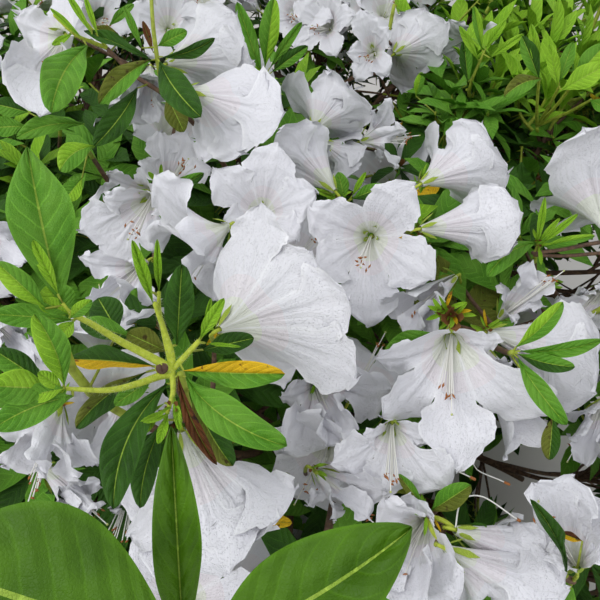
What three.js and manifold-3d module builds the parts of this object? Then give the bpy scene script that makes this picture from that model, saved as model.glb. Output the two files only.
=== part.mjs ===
// A low, mounded azalea shrub in flower, in millimetres, with +Z up.
// The origin is the middle of the flat cut under the main stem, at ground level.
import * as THREE from "three";
import { mergeVertices } from "three/addons/utils/BufferGeometryUtils.js";
import Module from "manifold-3d";

const wasm = await Module();
wasm.setup();

// The crown is a mound with a broad top: a superellipsoid about its waist, with shallow lumps, that
// rises a little towards the back.
const crown = {
  halfWidth: 600,
  halfDepth: 560,
  top: 640,
  waist: 250,
  skirt: 50,
  squareness: 3.8,
  lumps: 0.022,
  rise: 0.06,
};

// Twig tips are spread evenly over the crown, a little closer together on top.
const tips = {
  count: 108,
  candidates: 1400,
  below: 0.72,
  closerOnTop: 0.3,
  depth: 0.07,
  seed: 4100,
  wallGap: 30,
};

// One side bears leafy shoots and hardly a bloom.
const leafySide = { fromX: 250, fromY: -40, fromZ: 420, share: 0.1 };
const bloomShare = { onTop: 0.72, atSkirt: 0.5, second: 0.5 };

// Tall young shoots stand out of the upper crown: three at the front, three on the leafy side, and
// others here and there.
const tallShoots = {
  places: [
    new THREE.Vector3(65, -412, 752),
    new THREE.Vector3(3, -313, 724),
    new THREE.Vector3(-42, -318, 762),
    new THREE.Vector3(400, 250, 690),
    new THREE.Vector3(290, 290, 685),
    new THREE.Vector3(320, 60, 670),
  ],
  every: 9,
  from: 560,
  least: 30,
  spread: 45,
  seed: 90,
};

const mainStem = {
  height: 84,
  topRadius: 17,
  flare: 15,
  flareHeight: 17,
  buttresses: 5,
  buttressDepth: 0.22,
  lean: [6, -4],
  sides: 15,
  rings: [0, 7, 18, 34, 56, 84],
};

// Three rings of foliage masses. Each mass has one bough, and the lower ones branch off an upper one.
const rings = {
  upper: { count: 5, elevation: 39, firstTurn: -75 },
  lower: { elevation: 2, stagger: 10, spread: 18 },
  centreShare: 0.78,
};

const limb = {
  sides: 7,
  steps: 4,
  clearance: 0.3,
  topRadii: [12, 6.5],
  upperRadii: [10, 5.6],
  lowerRadii: [7, 4.6],
  endShare: 0.4,
  leaves: [0.36, 0.5],
  rootDepth: 24,
  rootOut: 8,
  spread: 26,
  sag: 12,
};

const twig = {
  sides: 3,
  stemSides: 4,
  stemRadii: [4.8, 3.8],
  forkRadii: [3.8, 2.7],
  tipRadii: [3.2, 2.7],
  hubShare: 0.66,
  forkShare: 0.5,
  turnIn: 45,
};

const leaf = {
  length: 100,
  width: 44,
  thickness: 3,
  fold: 0.1,
  lift: 0.05,
  droop: 0.1,
  widest: 0.56,
  sunk: 1.1,
  firstBack: 5,
  tierBack: 8,
  turnPerTier: 0.4,
  closerPerTier: 12,
  sway: 0.3,
  underBloom: [1, 2],
  onLeafyTip: [0, 1, 2, 0],
  onTallShoot: [0, 1, 2, 0, 1],
  tries: 5,
};

const bloom = {
  radius: 54,
  length: 48,
  stalk: 14,
  lobes: 5,
  shoulder: 17,
  notch: 0.52,
  notchHeight: 0.7,
  neckRadius: 0.17,
  neckHeight: 0.4,
  throat: 0.4,
  sunk: 5,
  besideAngle: 76,
  besideBack: 7,
  tries: 5,
};

const join = { shortest: 0.01, shifts: [0, 0.08, -0.08, 0.15, -0.15, 0.22, -0.22] };
const groundGap = 10;
const goldenAngle = Math.PI * (3 - Math.sqrt(5));
const up = new THREE.Vector3(0, 0, 1);
const across = new THREE.Vector3(1, 0, 0);
const crownCentre = new THREE.Vector3(0, 0, crown.waist);

const colours = {
  bark: { color: 0x6b5140, roughness: 0.9, metalness: 0 },
  foliage: { color: 0x3f6b2a, roughness: 0.6, metalness: 0 },
};

// A small seeded generator, so that each tip draws the same numbers whatever was made before it.
function seeded(seed) {
  let state = seed >>> 0;
  return () => {
    state = (state + 0x6d2b79f5) >>> 0;
    let mixed = Math.imul(state ^ (state >>> 15), state | 1);
    mixed ^= mixed + Math.imul(mixed ^ (mixed >>> 7), mixed | 61);
    return ((mixed ^ (mixed >>> 14)) >>> 0) / 2 ** 32;
  };
}

function heading(turnDegrees, elevationDegrees) {
  const turn = THREE.MathUtils.degToRad(turnDegrees);
  const elevation = THREE.MathUtils.degToRad(elevationDegrees);
  const flat = Math.cos(elevation);
  return new THREE.Vector3(flat * Math.cos(turn), flat * Math.sin(turn), Math.sin(elevation));
}

// The point of the crown's surface in a direction from its centre, or a share of the way there.
function crownPoint(direction, share = 1) {
  const rise = direction.z > 0 ? crown.top - crown.waist : crown.waist - crown.skirt;
  const flat = Math.hypot(direction.x / crown.halfWidth, direction.y / crown.halfDepth);
  const power = crown.squareness;
  const reach = (flat ** power + Math.abs(direction.z / rise) ** power) ** (-1 / power);
  const turn = Math.atan2(direction.y, direction.x);
  const level = 1 - direction.z ** 2;
  const waves = Math.sin(3 * turn + 0.6) + Math.sin(5 * turn + 2.1 + 3 * direction.z);
  const point = direction.clone().multiplyScalar(share * reach * (1 + crown.lumps * level * waves));
  point.z += crown.waist + crown.rise * point.y * Math.max(direction.z, 0);
  return point;
}

function crownNormal(point) {
  const rise = point.z > crown.waist ? crown.top - crown.waist : crown.waist - crown.skirt;
  return new THREE.Vector3(
    point.x / crown.halfWidth ** 2,
    point.y / crown.halfDepth ** 2,
    (point.z - crown.waist) / rise ** 2,
  ).normalize();
}

// A closed tube with flat ends along a curve, tapering from the first radius to the last.
function taperedTube(curve, [startRadius, endRadius], sides, steps) {
  const frames = curve.computeFrenetFrames(steps, false);
  const positions = [];
  for (let step = 0; step <= steps; step++) {
    const centre = curve.getPointAt(step / steps);
    const radius = THREE.MathUtils.lerp(startRadius, endRadius, step / steps);
    for (let side = 0; side < sides; side++) {
      const angle = (2 * Math.PI * side) / sides;
      const spoke = frames.normals[step].clone().multiplyScalar(radius * Math.cos(angle));
      spoke.addScaledVector(frames.binormals[step], radius * Math.sin(angle)).add(centre);
      positions.push(...spoke.toArray());
    }
  }
  const ringAt = (step, side) => step * sides + (side % sides);
  const faces = [];
  for (let step = 0; step < steps; step++) {
    for (let side = 0; side < sides; side++) {
      const [a, b] = [ringAt(step, side), ringAt(step, side + 1)];
      const [c, d] = [ringAt(step + 1, side), ringAt(step + 1, side + 1)];
      faces.push(a, b, d, a, d, c);
    }
  }
  for (let side = 1; side < sides - 1; side++) {
    faces.push(ringAt(0, 0), ringAt(0, side + 1), ringAt(0, side));
    faces.push(ringAt(steps, 0), ringAt(steps, side), ringAt(steps, side + 1));
  }
  return shapeOf(positions, faces);
}

function shapeOf(positions, faces) {
  return new THREE.BufferGeometry()
    .setAttribute("position", new THREE.Float32BufferAttribute(positions, 3))
    .setIndex(faces);
}

function solidOf(geometry) {
  const bare = geometry.clone();
  bare.deleteAttribute("normal");
  bare.deleteAttribute("uv");
  const merged = mergeVertices(bare, 1e-4);
  return new wasm.Manifold(
    new wasm.Mesh({
      numProp: 3,
      vertProperties: new Float32Array(merged.attributes.position.array),
      triVerts: new Uint32Array(merged.index.array),
    }),
  );
}

function geometryOf(solid) {
  const mesh = solid.getMesh();
  return shapeOf(Array.from(mesh.vertProperties), Array.from(mesh.triVerts));
}

function shortestEdge(solid) {
  const { vertProperties: at, triVerts: corner } = solid.getMesh();
  let least = Infinity;
  for (let k = 0; k < corner.length; k++) {
    const a = 3 * corner[k];
    const b = 3 * corner[k % 3 === 2 ? k - 2 : k + 1];
    least = Math.min(least, Math.hypot(at[a] - at[b], at[a + 1] - at[b + 1], at[a + 2] - at[b + 2]));
  }
  return least;
}

// Joins the pieces of one mass. A piece that would leave a sliver where it meets the others is moved
// by a hair. A scrap that touches nothing, or a hollow sealed inside, is left out.
function joined([first, ...pieces]) {
  let whole = first;
  for (const piece of pieces) {
    for (const shift of join.shifts) {
      const next = whole.add(piece.translate([shift, 0.7 * shift, -0.5 * shift]));
      if (shortestEdge(next) < join.shortest) continue;
      whole = next;
      break;
    }
  }
  const bodies = whole.decompose();
  return bodies.reduce((most, body) => (body.volume() > most.volume() ? body : most));
}

// The main stem: rings that shrink upwards, with a buttressed root flare and a slight lean.
function stemRadius(height, angle) {
  const flare = mainStem.flare * Math.exp(-height / mainStem.flareHeight);
  const buttress = 1 + mainStem.buttressDepth * Math.cos(mainStem.buttresses * angle);
  return mainStem.topRadius + flare * buttress;
}

function mainStemGeometry(extra = 0) {
  const { sides, rings: heights, height: full, lean } = mainStem;
  const positions = [];
  for (const height of heights) {
    for (let side = 0; side < sides; side++) {
      const angle = (2 * Math.PI * side) / sides;
      const radius = stemRadius(height, angle) + extra;
      const level = height === full ? height + extra : height;
      positions.push(
        radius * Math.cos(angle) + (lean[0] * height) / full,
        radius * Math.sin(angle) + (lean[1] * height) / full,
        level,
      );
    }
  }
  const faces = [];
  const last = heights.length - 1;
  for (let ring = 0; ring < last; ring++) {
    for (let side = 0; side < sides; side++) {
      const next = (side + 1) % sides;
      const [a, b] = [ring * sides + side, ring * sides + next];
      faces.push(a, b, b + sides, a, b + sides, a + sides);
    }
  }
  for (let side = 1; side < sides - 1; side++) {
    faces.push(0, side + 1, side);
    faces.push(last * sides, last * sides + side, last * sides + side + 1);
  }
  return shapeOf(positions, faces);
}

const stemTop = new THREE.Vector3(...mainStem.lean, mainStem.height);

// Each mass of foliage, with its direction from the crown's centre and the bough that carries it.
function listMasses() {
  const found = [{ name: "top", toward: up.clone(), radii: limb.topRadii, from: null }];
  const { upper, lower } = rings;
  for (let k = 0; k < upper.count; k++) {
    const turn = upper.firstTurn + (360 / upper.count) * k;
    const toward = heading(turn, upper.elevation);
    const carrier = { name: `upper_${k + 1}`, toward, radii: limb.upperRadii, from: null };
    found.push(carrier);
    [-1, 1].forEach((hand, index) => {
      const elevation = lower.elevation + hand * lower.stagger;
      found.push({
        name: `lower_${2 * k + index + 1}`,
        toward: heading(turn + hand * lower.spread, elevation),
        radii: limb.lowerRadii,
        from: carrier,
        leavesAt: limb.leaves[index],
      });
    });
  }
  for (const mass of found) {
    mass.middle = crownPoint(mass.toward, rings.centreShare);
    mass.tips = [];
  }
  return found;
}

function boughCurve(mass) {
  const end = crownPoint(mass.toward, limb.endShare);
  const flat = new THREE.Vector3(mass.toward.x, mass.toward.y, 0);
  const start = mass.from
    ? mass.from.curve.getPointAt(mass.leavesAt)
    : stemTop.clone().addScaledVector(up, -limb.rootDepth).addScaledVector(flat, limb.rootOut);
  const bend = start.clone().lerp(end, 0.5);
  if (mass.from) bend.addScaledVector(up, -limb.sag);
  else bend.addScaledVector(flat, limb.spread);
  return new THREE.QuadraticBezierCurve3(start, bend, end);
}

function distanceToLimb(point, limbLine) {
  let least = Infinity;
  const nearest = new THREE.Vector3();
  for (const { from, to, radius } of limbLine) {
    new THREE.Line3(from, to).closestPointToPoint(point, true, nearest);
    least = Math.min(least, nearest.distanceTo(point) - radius);
  }
  return least;
}

function limbLine(curve, radii) {
  const points = curve.getPoints(6);
  return points.slice(1).map((to, k) => ({ from: points[k], to, radius: Math.max(...radii) }));
}

const masses = listMasses();
const limbLines = [];
for (const mass of masses) {
  mass.curve = boughCurve(mass);
  limbLines.push(limbLine(mass.curve, mass.radii));
}
limbLines.push([{ from: new THREE.Vector3(), to: stemTop, radius: mainStem.topRadius + mainStem.flare }]);

// How far a point lies inside the mass's own space, where it is nearer its middle than any other's.
function wallDistance(mass, point) {
  let least = Infinity;
  for (const other of masses) {
    if (other === mass) continue;
    const apart = other.middle.clone().sub(mass.middle);
    const wall = mass.middle.clone().add(other.middle).multiplyScalar(0.5);
    least = Math.min(least, -point.clone().sub(wall).dot(apart) / apart.length());
  }
  return least;
}

// True where every corner of a shape is in the mass's space, clear of the ground and of all limbs.
function keepsClear(mass, geometry, limbGap = 2) {
  const at = geometry.attributes.position;
  const point = new THREE.Vector3();
  for (let k = 0; k < at.count; k++) {
    point.fromBufferAttribute(at, k);
    if (point.z < groundGap || wallDistance(mass, point) < 0.4) return false;
    if (limbLines.some((line) => distanceToLimb(point, line) < limbGap)) return false;
  }
  return true;
}

// Picks the tips one by one, each as far as it can be from those before it. Distances count for
// more on top, so the tips stand closer together there.
function spreadTips() {
  const choices = [];
  for (let k = 0; k < tips.candidates; k++) {
    const height = 1 - (1 + tips.below) * ((k + 0.5) / tips.candidates);
    const flat = Math.sqrt(1 - height ** 2);
    const turn = k * goldenAngle;
    const point = crownPoint(new THREE.Vector3(flat * Math.cos(turn), flat * Math.sin(turn), height));
    const level = (point.z - crown.skirt) / (crown.top - crown.skirt);
    choices.push({ point, weight: 1 + tips.closerOnTop * level, apart: Infinity });
  }
  const picked = [];
  let next = choices[0];
  for (let k = 0; k < tips.count; k++) {
    picked.push(next.point);
    for (const choice of choices) {
      const distance = choice.weight * choice.point.distanceTo(next.point);
      choice.apart = Math.min(choice.apart, distance);
    }
    next = choices.reduce((best, choice) => (choice.apart > best.apart ? choice : best));
  }
  return picked;
}

function nearestMass(point) {
  return masses.reduce((best, mass) =>
    mass.middle.distanceToSquared(point) < best.middle.distanceToSquared(point) ? mass : best,
  );
}

function tipKind(point, draw) {
  const chance = draw();
  const { fromX, fromY, fromZ, share } = leafySide;
  if (point.x > fromX && point.y > fromY && point.z > fromZ) return chance < share ? "bloom" : "leafy";
  const level = (point.z - crown.skirt) / (crown.top - crown.skirt);
  return chance < THREE.MathUtils.lerp(bloomShare.atSkirt, bloomShare.onTop, level) ? "bloom" : "leafy";
}

// Gives each tip its kind and its mass. A tip too near a neighbour mass moves in towards its own.
function dealTips() {
  spreadTips().forEach((place, k) => {
    const draw = seeded(tips.seed + k);
    const point = crownCentre.clone().lerp(place, 1 - tips.depth * (0.6 + 0.8 * draw()));
    let kind = tipKind(point, draw);
    const outward = crownNormal(point);
    if (k % tallShoots.every === 2 && point.z > tallShoots.from) {
      kind = "tall";
      point.z += tallShoots.least + tallShoots.spread * draw();
    }
    addTip(point, outward, kind, tips.seed + tips.count + k);
  });
  tallShoots.places.forEach((place, k) => addTip(place.clone(), up.clone(), "tall", tallShoots.seed + k));
}

function addTip(point, outward, kind, seed) {
  const mass = nearestMass(point);
  for (let tries = 0; wallDistance(mass, point) < tips.wallGap && tries < 12; tries++) {
    point.lerp(crownPoint(mass.toward, 0.95), 0.05);
  }
  mass.tips.push({ point, outward, kind, seed });
}

// The direction out of a three-sided twig's faces at its tip: 0, 1 and 2 are the faces' middles.
function faceSpoke(frame, face) {
  const angle = (2 * Math.PI * (face + 0.5)) / twig.sides;
  const spoke = frame.normal.clone().multiplyScalar(Math.cos(angle));
  return spoke.addScaledVector(frame.binormal, Math.sin(angle));
}

// A direction that leans from the twig's axis towards a spoke.
function leaning(frame, spoke, degrees) {
  const angle = THREE.MathUtils.degToRad(degrees);
  return frame.axis.clone().multiplyScalar(Math.cos(angle)).addScaledVector(spoke, Math.sin(angle));
}

// A leaf of eight faces: an octahedron drawn out, folded along its rib and drooping at its tip.
function leafGeometry(size) {
  const long = leaf.length * size;
  const geometry = new THREE.OctahedronGeometry(1);
  geometry.scale((leaf.width * size) / 2, long / 2, leaf.thickness / 2).translate(0, long / 2, 0);
  const at = geometry.attributes.position;
  for (let k = 0; k < at.count; k++) {
    const along = at.getY(k) / long;
    if (along > 0.9) at.setZ(k, -leaf.droop * long);
    else if (along > 0.1) {
      at.setY(k, leaf.widest * long);
      at.setZ(k, at.getZ(k) + leaf.fold * Math.abs(at.getX(k)) + leaf.lift * long);
    }
  }
  return geometry;
}

function laidAlong(geometry, base, direction, faceUp) {
  const side = new THREE.Vector3().crossVectors(direction, faceUp).normalize();
  const top = new THREE.Vector3().crossVectors(side, direction);
  return geometry.applyMatrix4(new THREE.Matrix4().makeBasis(side, direction, top).setPosition(base));
}

// Leaves in tiers of three, one out of each face of the twig. One that leaves the mass's space is
// tried again smaller and closer to the twig, and then skipped.
function leavesAt(mass, frame, faces, draw, openDegrees, size) {
  const made = [];
  faces.forEach((face, k) => {
    const tier = Math.floor(k / twig.sides);
    const spoke = faceSpoke(frame, face + leaf.turnPerTier * tier + leaf.sway * (draw() - 0.5));
    const opening = openDegrees - leaf.closerPerTier * tier + 14 * (draw() - 0.5);
    const grown = size * (0.88 + 0.24 * draw());
    const back = leaf.firstBack + leaf.tierBack * tier + 2 * draw();
    const base = frame.tip.clone().addScaledVector(frame.axis, -back).addScaledVector(spoke, -leaf.sunk);
    for (let tries = 0; tries < leaf.tries; tries++) {
      const direction = leaning(frame, spoke, opening - 9 * tries);
      const shape = laidAlong(leafGeometry(grown * (1 - 0.08 * tries)), base, direction, frame.axis);
      if (!keepsClear(mass, shape)) continue;
      made.push(solidOf(shape));
      return;
    }
  });
  return made;
}

// An open bloom on its stalk: a narrow tube that flares to five broad lobes round a deep throat.
function bloomGeometry(size) {
  const { lobes, stalk, neckRadius, neckHeight, notch, notchHeight, throat } = bloom;
  const [radius, length] = [bloom.radius * size, bloom.length * size];
  const lobeTurn = (2 * Math.PI) / lobes;
  const shoulder = THREE.MathUtils.degToRad(bloom.shoulder);
  const positions = [0, 0, 0, 0, 0, stalk + throat * length];
  const addPoint = (turn, out, high) =>
    positions.push(out * radius * Math.cos(turn), out * radius * Math.sin(turn), stalk + high * length);
  for (let k = 0; k < lobes; k++) addPoint((k - 0.5) * lobeTurn, neckRadius, neckHeight);
  for (let k = 0; k < lobes; k++) {
    addPoint((k - 0.5) * lobeTurn, notch, notchHeight);
    addPoint(k * lobeTurn - shoulder, 1, 1);
    addPoint(k * lobeTurn + shoulder, 1, 1);
  }
  const rimSteps = 3;
  const neck = (k) => 2 + (k % lobes);
  const rim = (k) => 2 + lobes + (k % (rimSteps * lobes));
  const faces = [];
  for (let k = 0; k < lobes; k++) {
    faces.push(0, neck(k + 1), neck(k));
    faces.push(neck(k), neck(k + 1), rim(rimSteps * (k + 1)));
  }
  for (let k = 0; k < rimSteps * lobes; k++) {
    faces.push(neck(Math.floor(k / rimSteps)), rim(k + 1), rim(k));
    faces.push(1, rim(k), rim(k + 1));
  }
  return shapeOf(positions, faces);
}

// A bloom from a point inside the twig. One that doesn't fit is tried again, smaller.
function bloomAt(mass, base, facing, draw) {
  const grown = 0.95 + 0.1 * draw();
  const turned = new THREE.Quaternion().setFromAxisAngle(up, 2 * Math.PI * draw());
  turned.premultiply(new THREE.Quaternion().setFromUnitVectors(up, facing));
  const place = new THREE.Matrix4().makeRotationFromQuaternion(turned).setPosition(base);
  for (let tries = 0; tries < bloom.tries; tries++) {
    const shape = bloomGeometry(grown - 0.1 * tries).applyMatrix4(place);
    if (keepsClear(mass, shape)) return [solidOf(shape)];
  }
  return [];
}

// What a tip bears: a tall shoot's upright leaves, a whorl of leaves, or one or two blooms.
function bearings(mass, tip, frame) {
  const draw = seeded(tip.seed);
  if (tip.kind === "tall") return leavesAt(mass, frame, leaf.onTallShoot, draw, 45, 0.82);
  if (tip.kind === "leafy") return leavesAt(mass, frame, leaf.onLeafyTip, draw, 66, 1);
  const base = frame.tip.clone().addScaledVector(frame.axis, -bloom.sunk);
  const made = bloomAt(mass, base, frame.axis, draw);
  if (draw() < bloomShare.second) {
    const spoke = faceSpoke(frame, leaf.sway * (draw() - 0.5));
    const start = frame.tip.clone().addScaledVector(frame.axis, -bloom.besideBack);
    start.addScaledVector(spoke, -leaf.sunk);
    made.push(...bloomAt(mass, start, leaning(frame, spoke, bloom.besideAngle), draw));
  }
  return made.concat(leavesAt(mass, frame, leaf.underBloom, draw, 80, 1));
}

function tipFrame(curve, steps) {
  const frames = curve.computeFrenetFrames(steps, false);
  return {
    tip: curve.getPointAt(1),
    axis: frames.tangents[steps],
    normal: frames.normals[steps],
    binormal: frames.binormals[steps],
  };
}

// Orders a mass's tips round its stem, and notes how far each lies from it.
function sortTips(mass, hub) {
  const side = new THREE.Vector3().crossVectors(mass.toward, Math.abs(mass.toward.z) < 0.9 ? up : across);
  side.normalize();
  const other = new THREE.Vector3().crossVectors(mass.toward, side);
  for (const tip of mass.tips) {
    const offset = tip.point.clone().sub(hub);
    tip.turn = Math.atan2(offset.dot(other), offset.dot(side));
    tip.wide = Math.hypot(offset.dot(other), offset.dot(side));
  }
  mass.tips.sort((a, b) => a.turn - b.turn);
}

// One mass: a stem goes on from the bough, twigs leave it for each pair of tips, the widest pair
// first, and fork on the way.
function foliageSolid(mass) {
  const tangent = mass.curve.getTangentAt(1);
  const start = mass.curve.getPointAt(1).addScaledVector(tangent, limb.clearance);
  const hub = crownPoint(mass.toward, twig.hubShare);
  const bend = start.clone().addScaledVector(tangent, start.distanceTo(hub) / 2);
  const stem = new THREE.QuadraticBezierCurve3(start, bend, hub);
  const solids = [solidOf(taperedTube(stem, twig.stemRadii, twig.stemSides, 2))];
  sortTips(mass, hub);
  const widest = Math.max(...mass.tips.map((tip) => tip.wide));
  for (let k = 0; k < mass.tips.length; k += 2) {
    const pair = mass.tips.slice(k, k + 2);
    const middle = pair[0].point.clone().lerp(pair[pair.length - 1].point, 0.5);
    const foot = stem.getPointAt(0.95 - 0.65 * (pair[0].wide / widest));
    const fork = foot.clone().lerp(middle, twig.forkShare).addScaledVector(mass.toward, 6);
    pair.forEach((tip, which) => {
      const inner = tip.point.clone().addScaledVector(tip.outward, -twig.turnIn);
      const route = which ? [fork, inner, tip.point] : [foot, fork, inner, tip.point];
      const line = new THREE.CatmullRomCurve3(route, false, "centripetal");
      const steps = route.length - 1;
      const shape = taperedTube(line, which ? twig.tipRadii : twig.forkRadii, twig.sides, steps);
      if (!keepsClear(mass, shape, 0.5)) return;
      solids.push(solidOf(shape), ...bearings(mass, tip, tipFrame(line, steps)));
    });
  }
  return joined(solids);
}

const shrub = new THREE.Group();

function addNode(name, geometry, look) {
  const mesh = new THREE.Mesh(geometry, new THREE.MeshStandardMaterial(look));
  mesh.name = name;
  shrub.add(mesh);
}

// Each bough is cut back from the main stem and from the boughs before it, with a hair's clearance.
function boughSolid(mass, before) {
  const whole = solidOf(taperedTube(mass.curve, mass.radii, limb.sides, limb.steps));
  const cut = before.reduce(
    (rest, { curve, radii: [start, end] }) => {
      const grown = [start + limb.clearance, end + limb.clearance];
      return rest.subtract(solidOf(taperedTube(curve, grown, limb.sides, limb.steps)));
    },
    whole.subtract(solidOf(mainStemGeometry(limb.clearance))),
  );
  const bodies = cut.decompose();
  return bodies.reduce((most, body) => (body.volume() > most.volume() ? body : most));
}

addNode("main_stem", mainStemGeometry(), colours.bark);
masses.forEach((mass, k) => {
  addNode(`bough_${mass.name}`, geometryOf(boughSolid(mass, masses.slice(0, k))), colours.bark);
});
dealTips();
for (const mass of masses) {
  addNode(`foliage_${mass.name}`, geometryOf(foliageSolid(mass)), colours.foliage);
}

export default shrub;
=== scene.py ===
import bpy
import math
import numpy as np
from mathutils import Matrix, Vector, kdtree, noise


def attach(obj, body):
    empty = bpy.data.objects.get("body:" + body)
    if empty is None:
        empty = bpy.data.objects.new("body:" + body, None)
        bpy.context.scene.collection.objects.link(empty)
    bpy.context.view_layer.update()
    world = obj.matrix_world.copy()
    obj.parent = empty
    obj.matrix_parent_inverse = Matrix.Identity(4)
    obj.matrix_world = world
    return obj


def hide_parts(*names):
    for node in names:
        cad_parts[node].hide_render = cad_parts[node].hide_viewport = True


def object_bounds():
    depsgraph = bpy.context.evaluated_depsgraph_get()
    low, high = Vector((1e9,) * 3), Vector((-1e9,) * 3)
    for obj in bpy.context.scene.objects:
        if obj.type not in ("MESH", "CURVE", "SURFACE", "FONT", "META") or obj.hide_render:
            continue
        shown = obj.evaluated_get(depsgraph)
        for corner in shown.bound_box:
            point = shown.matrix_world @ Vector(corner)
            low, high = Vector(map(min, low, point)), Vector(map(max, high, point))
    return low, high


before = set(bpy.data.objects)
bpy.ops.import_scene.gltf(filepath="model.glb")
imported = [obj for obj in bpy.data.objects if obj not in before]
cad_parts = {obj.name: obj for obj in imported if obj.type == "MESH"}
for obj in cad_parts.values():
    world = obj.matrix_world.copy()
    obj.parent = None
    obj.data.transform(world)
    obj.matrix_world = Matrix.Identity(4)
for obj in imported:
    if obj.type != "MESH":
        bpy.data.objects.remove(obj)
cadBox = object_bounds()
print("frame loaded:", len(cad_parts), "nodes")

# Depths are measured along the line of sight, pixels from the top left of a square picture.
camera = {
    "place": (60.0, -470.0, 966.0),  # a third of a metre over the flowers
    "pitch": 50,  # degrees below the horizon, looking along +Y
    "lens": 36,
    "sensor": 36,
    "pixels": 600,
}


def placeCamera():
    data = bpy.data.cameras.new("camera")
    data.lens = camera["lens"]
    data.sensor_width = camera["sensor"]
    data.clip_start = 0.01
    eye = bpy.data.objects.new("camera", data)
    eye.location = Vector(camera["place"]) / 1000
    eye.rotation_euler = (math.radians(90 - camera["pitch"]), 0, 0)
    bpy.context.scene.collection.objects.link(eye)
    bpy.context.scene.camera = eye


placeCamera()
eyeAt = np.array(camera["place"])
pitch = math.radians(camera["pitch"])
eyeAxes = np.array([  # right, up and forward
    [1, 0, 0],
    [0, math.sin(pitch), math.cos(pitch)],
    [0, math.cos(pitch), -math.sin(pitch)],
])
halfFrame = camera["pixels"] / 2
focus = camera["lens"] / camera["sensor"] * camera["pixels"]


def unit(v):
    v = np.asarray(v, float)
    return v / np.maximum(np.linalg.norm(v, axis=-1, keepdims=True), 1e-9)


def ray(x, y):
    return np.array([(x - halfFrame) / focus, (halfFrame - y) / focus, 1]) @ eyeAxes


def atPixel(x, y, depth):
    return eyeAt + depth * ray(x, y)


def toPixels(points):
    seen = (np.asarray(points, float) - eyeAt) @ eyeAxes.T
    depth = seen[..., 2]
    safe = np.where(depth < 1, 1, depth)
    return halfFrame + focus * seen[..., 0] / safe, halfFrame - focus * seen[..., 1] / safe, depth


# The crown and its limbs follow the same named sizes as the solids.
crown = {
    "halfWidth": 600, "halfDepth": 560, "top": 640, "waist": 250, "skirt": 50, "squareness": 3.8, "lumps": 0.022,
    "waves": ((3, 0.6, 0), (5, 2.1, 3)), "rise": 0.06,
}
tips = {
    "count": 108, "candidates": 1400, "below": 0.72, "closerOnTop": 0.3, "depth": 0.07, "depthSpread": (0.6, 0.8),
    "seed": 4100, "wallGap": 30, "pullTries": 12, "pullTo": 0.95, "pull": 0.05,
}
leafySide = {"fromX": 250, "fromY": -40, "fromZ": 420, "share": 0.1}
bloomShare = {"onTop": 0.72, "atSkirt": 0.5}
tallShoots = {
    "places": [(65, -412, 752), (3, -313, 724), (-42, -318, 762), (400, 250, 690), (290, 290, 685), (320, 60, 670)],
    "every": 9, "first": 2, "from": 560, "least": 30, "spread": 45,
}
mainStem = {
    "height": 84, "topRadius": 17, "flare": 15, "flareHeight": 17,
    "buttresses": 5, "buttressDepth": 0.22, "lean": (6, -4),
}
rings = {"count": 5, "upperElevation": 39, "firstTurn": -75, "lowerElevation": 2, "stagger": 10, "spread": 18,
         "centreShare": 0.78}
limb = {
    "topRadii": (12, 6.5), "upperRadii": (10, 5.6), "lowerRadii": (7, 4.6), "endShare": 0.4,
    "leaves": (0.36, 0.5), "rootDepth": 24, "rootOut": 8, "spread": 26, "sag": 12,
}
twig = {"hubShare": 0.66, "forkShare": 0.5, "forkRise": 6, "footShares": (0.95, 0.65), "turnIn": 45,
        "stemRadii": (4.8, 3.8), "forkRadii": (3.6, 2.2), "tipRadii": (2.8, 1.9), "stemSteps": 21, "tipSteps": 17,
        "youngFrom": 12}
goldenAngle = math.pi * (3 - math.sqrt(5))
fullTurn = 6.28  # where a draw may point anywhere
upward = np.array([0.0, 0.0, 1.0])
whole = 0xFFFFFFFF


def seeded(seed):
    state = seed & whole

    def draw():
        nonlocal state
        state = (state + 0x6D2B79F5) & whole
        mixed = ((state ^ (state >> 15)) * (state | 1)) & whole
        mixed ^= (mixed + (mixed ^ (mixed >> 7)) * (mixed | 61)) & whole
        return ((mixed ^ (mixed >> 14)) & whole) / 2**32

    return draw


def heading(turnDegrees, elevationDegrees):
    turn, elevation = math.radians(turnDegrees), math.radians(elevationDegrees)
    flat = math.cos(elevation)
    return np.array([flat * math.cos(turn), flat * math.sin(turn), math.sin(elevation)])


# The crown's surface in a direction from its centre, or a share of the way there.
def crownPoint(direction, share=1.0):
    x, y, z = np.moveaxis(np.asarray(direction, float), -1, 0)
    rise = np.where(z > 0, crown["top"] - crown["waist"], crown["waist"] - crown["skirt"])
    flat = np.hypot(x / crown["halfWidth"], y / crown["halfDepth"])
    power = crown["squareness"]
    reach = (flat**power + np.abs(z / rise) ** power) ** (-1 / power)
    turn = np.arctan2(y, x)
    waves = sum(np.sin(many * turn + phase + slant * z) for many, phase, slant in crown["waves"])
    far = share * reach * (1 + crown["lumps"] * (1 - z**2) * waves)
    point = np.stack([x * far, y * far, z * far], -1)
    point[..., 2] += crown["waist"] + crown["rise"] * point[..., 1] * np.maximum(z, 0)
    return point


def crownNormal(point):
    x, y, z = np.moveaxis(np.asarray(point, float), -1, 0)
    rise = np.where(z > crown["waist"], crown["top"] - crown["waist"], crown["waist"] - crown["skirt"])
    flat = [x / crown["halfWidth"] ** 2, y / crown["halfDepth"] ** 2]
    return unit(np.stack([*flat, (z - crown["waist"]) / rise**2], -1))


def directions(count, below):
    k = np.arange(count)
    height = 1 - (1 + below) * ((k + 0.5) / count)
    flat = np.sqrt(1 - height**2)
    return np.stack([flat * np.cos(k * goldenAngle), flat * np.sin(k * goldenAngle), height], -1)


# How high a point lies between the skirt and the top of the crown.
def levelOf(point):
    return (point[..., 2] - crown["skirt"]) / (crown["top"] - crown["skirt"])


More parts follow.
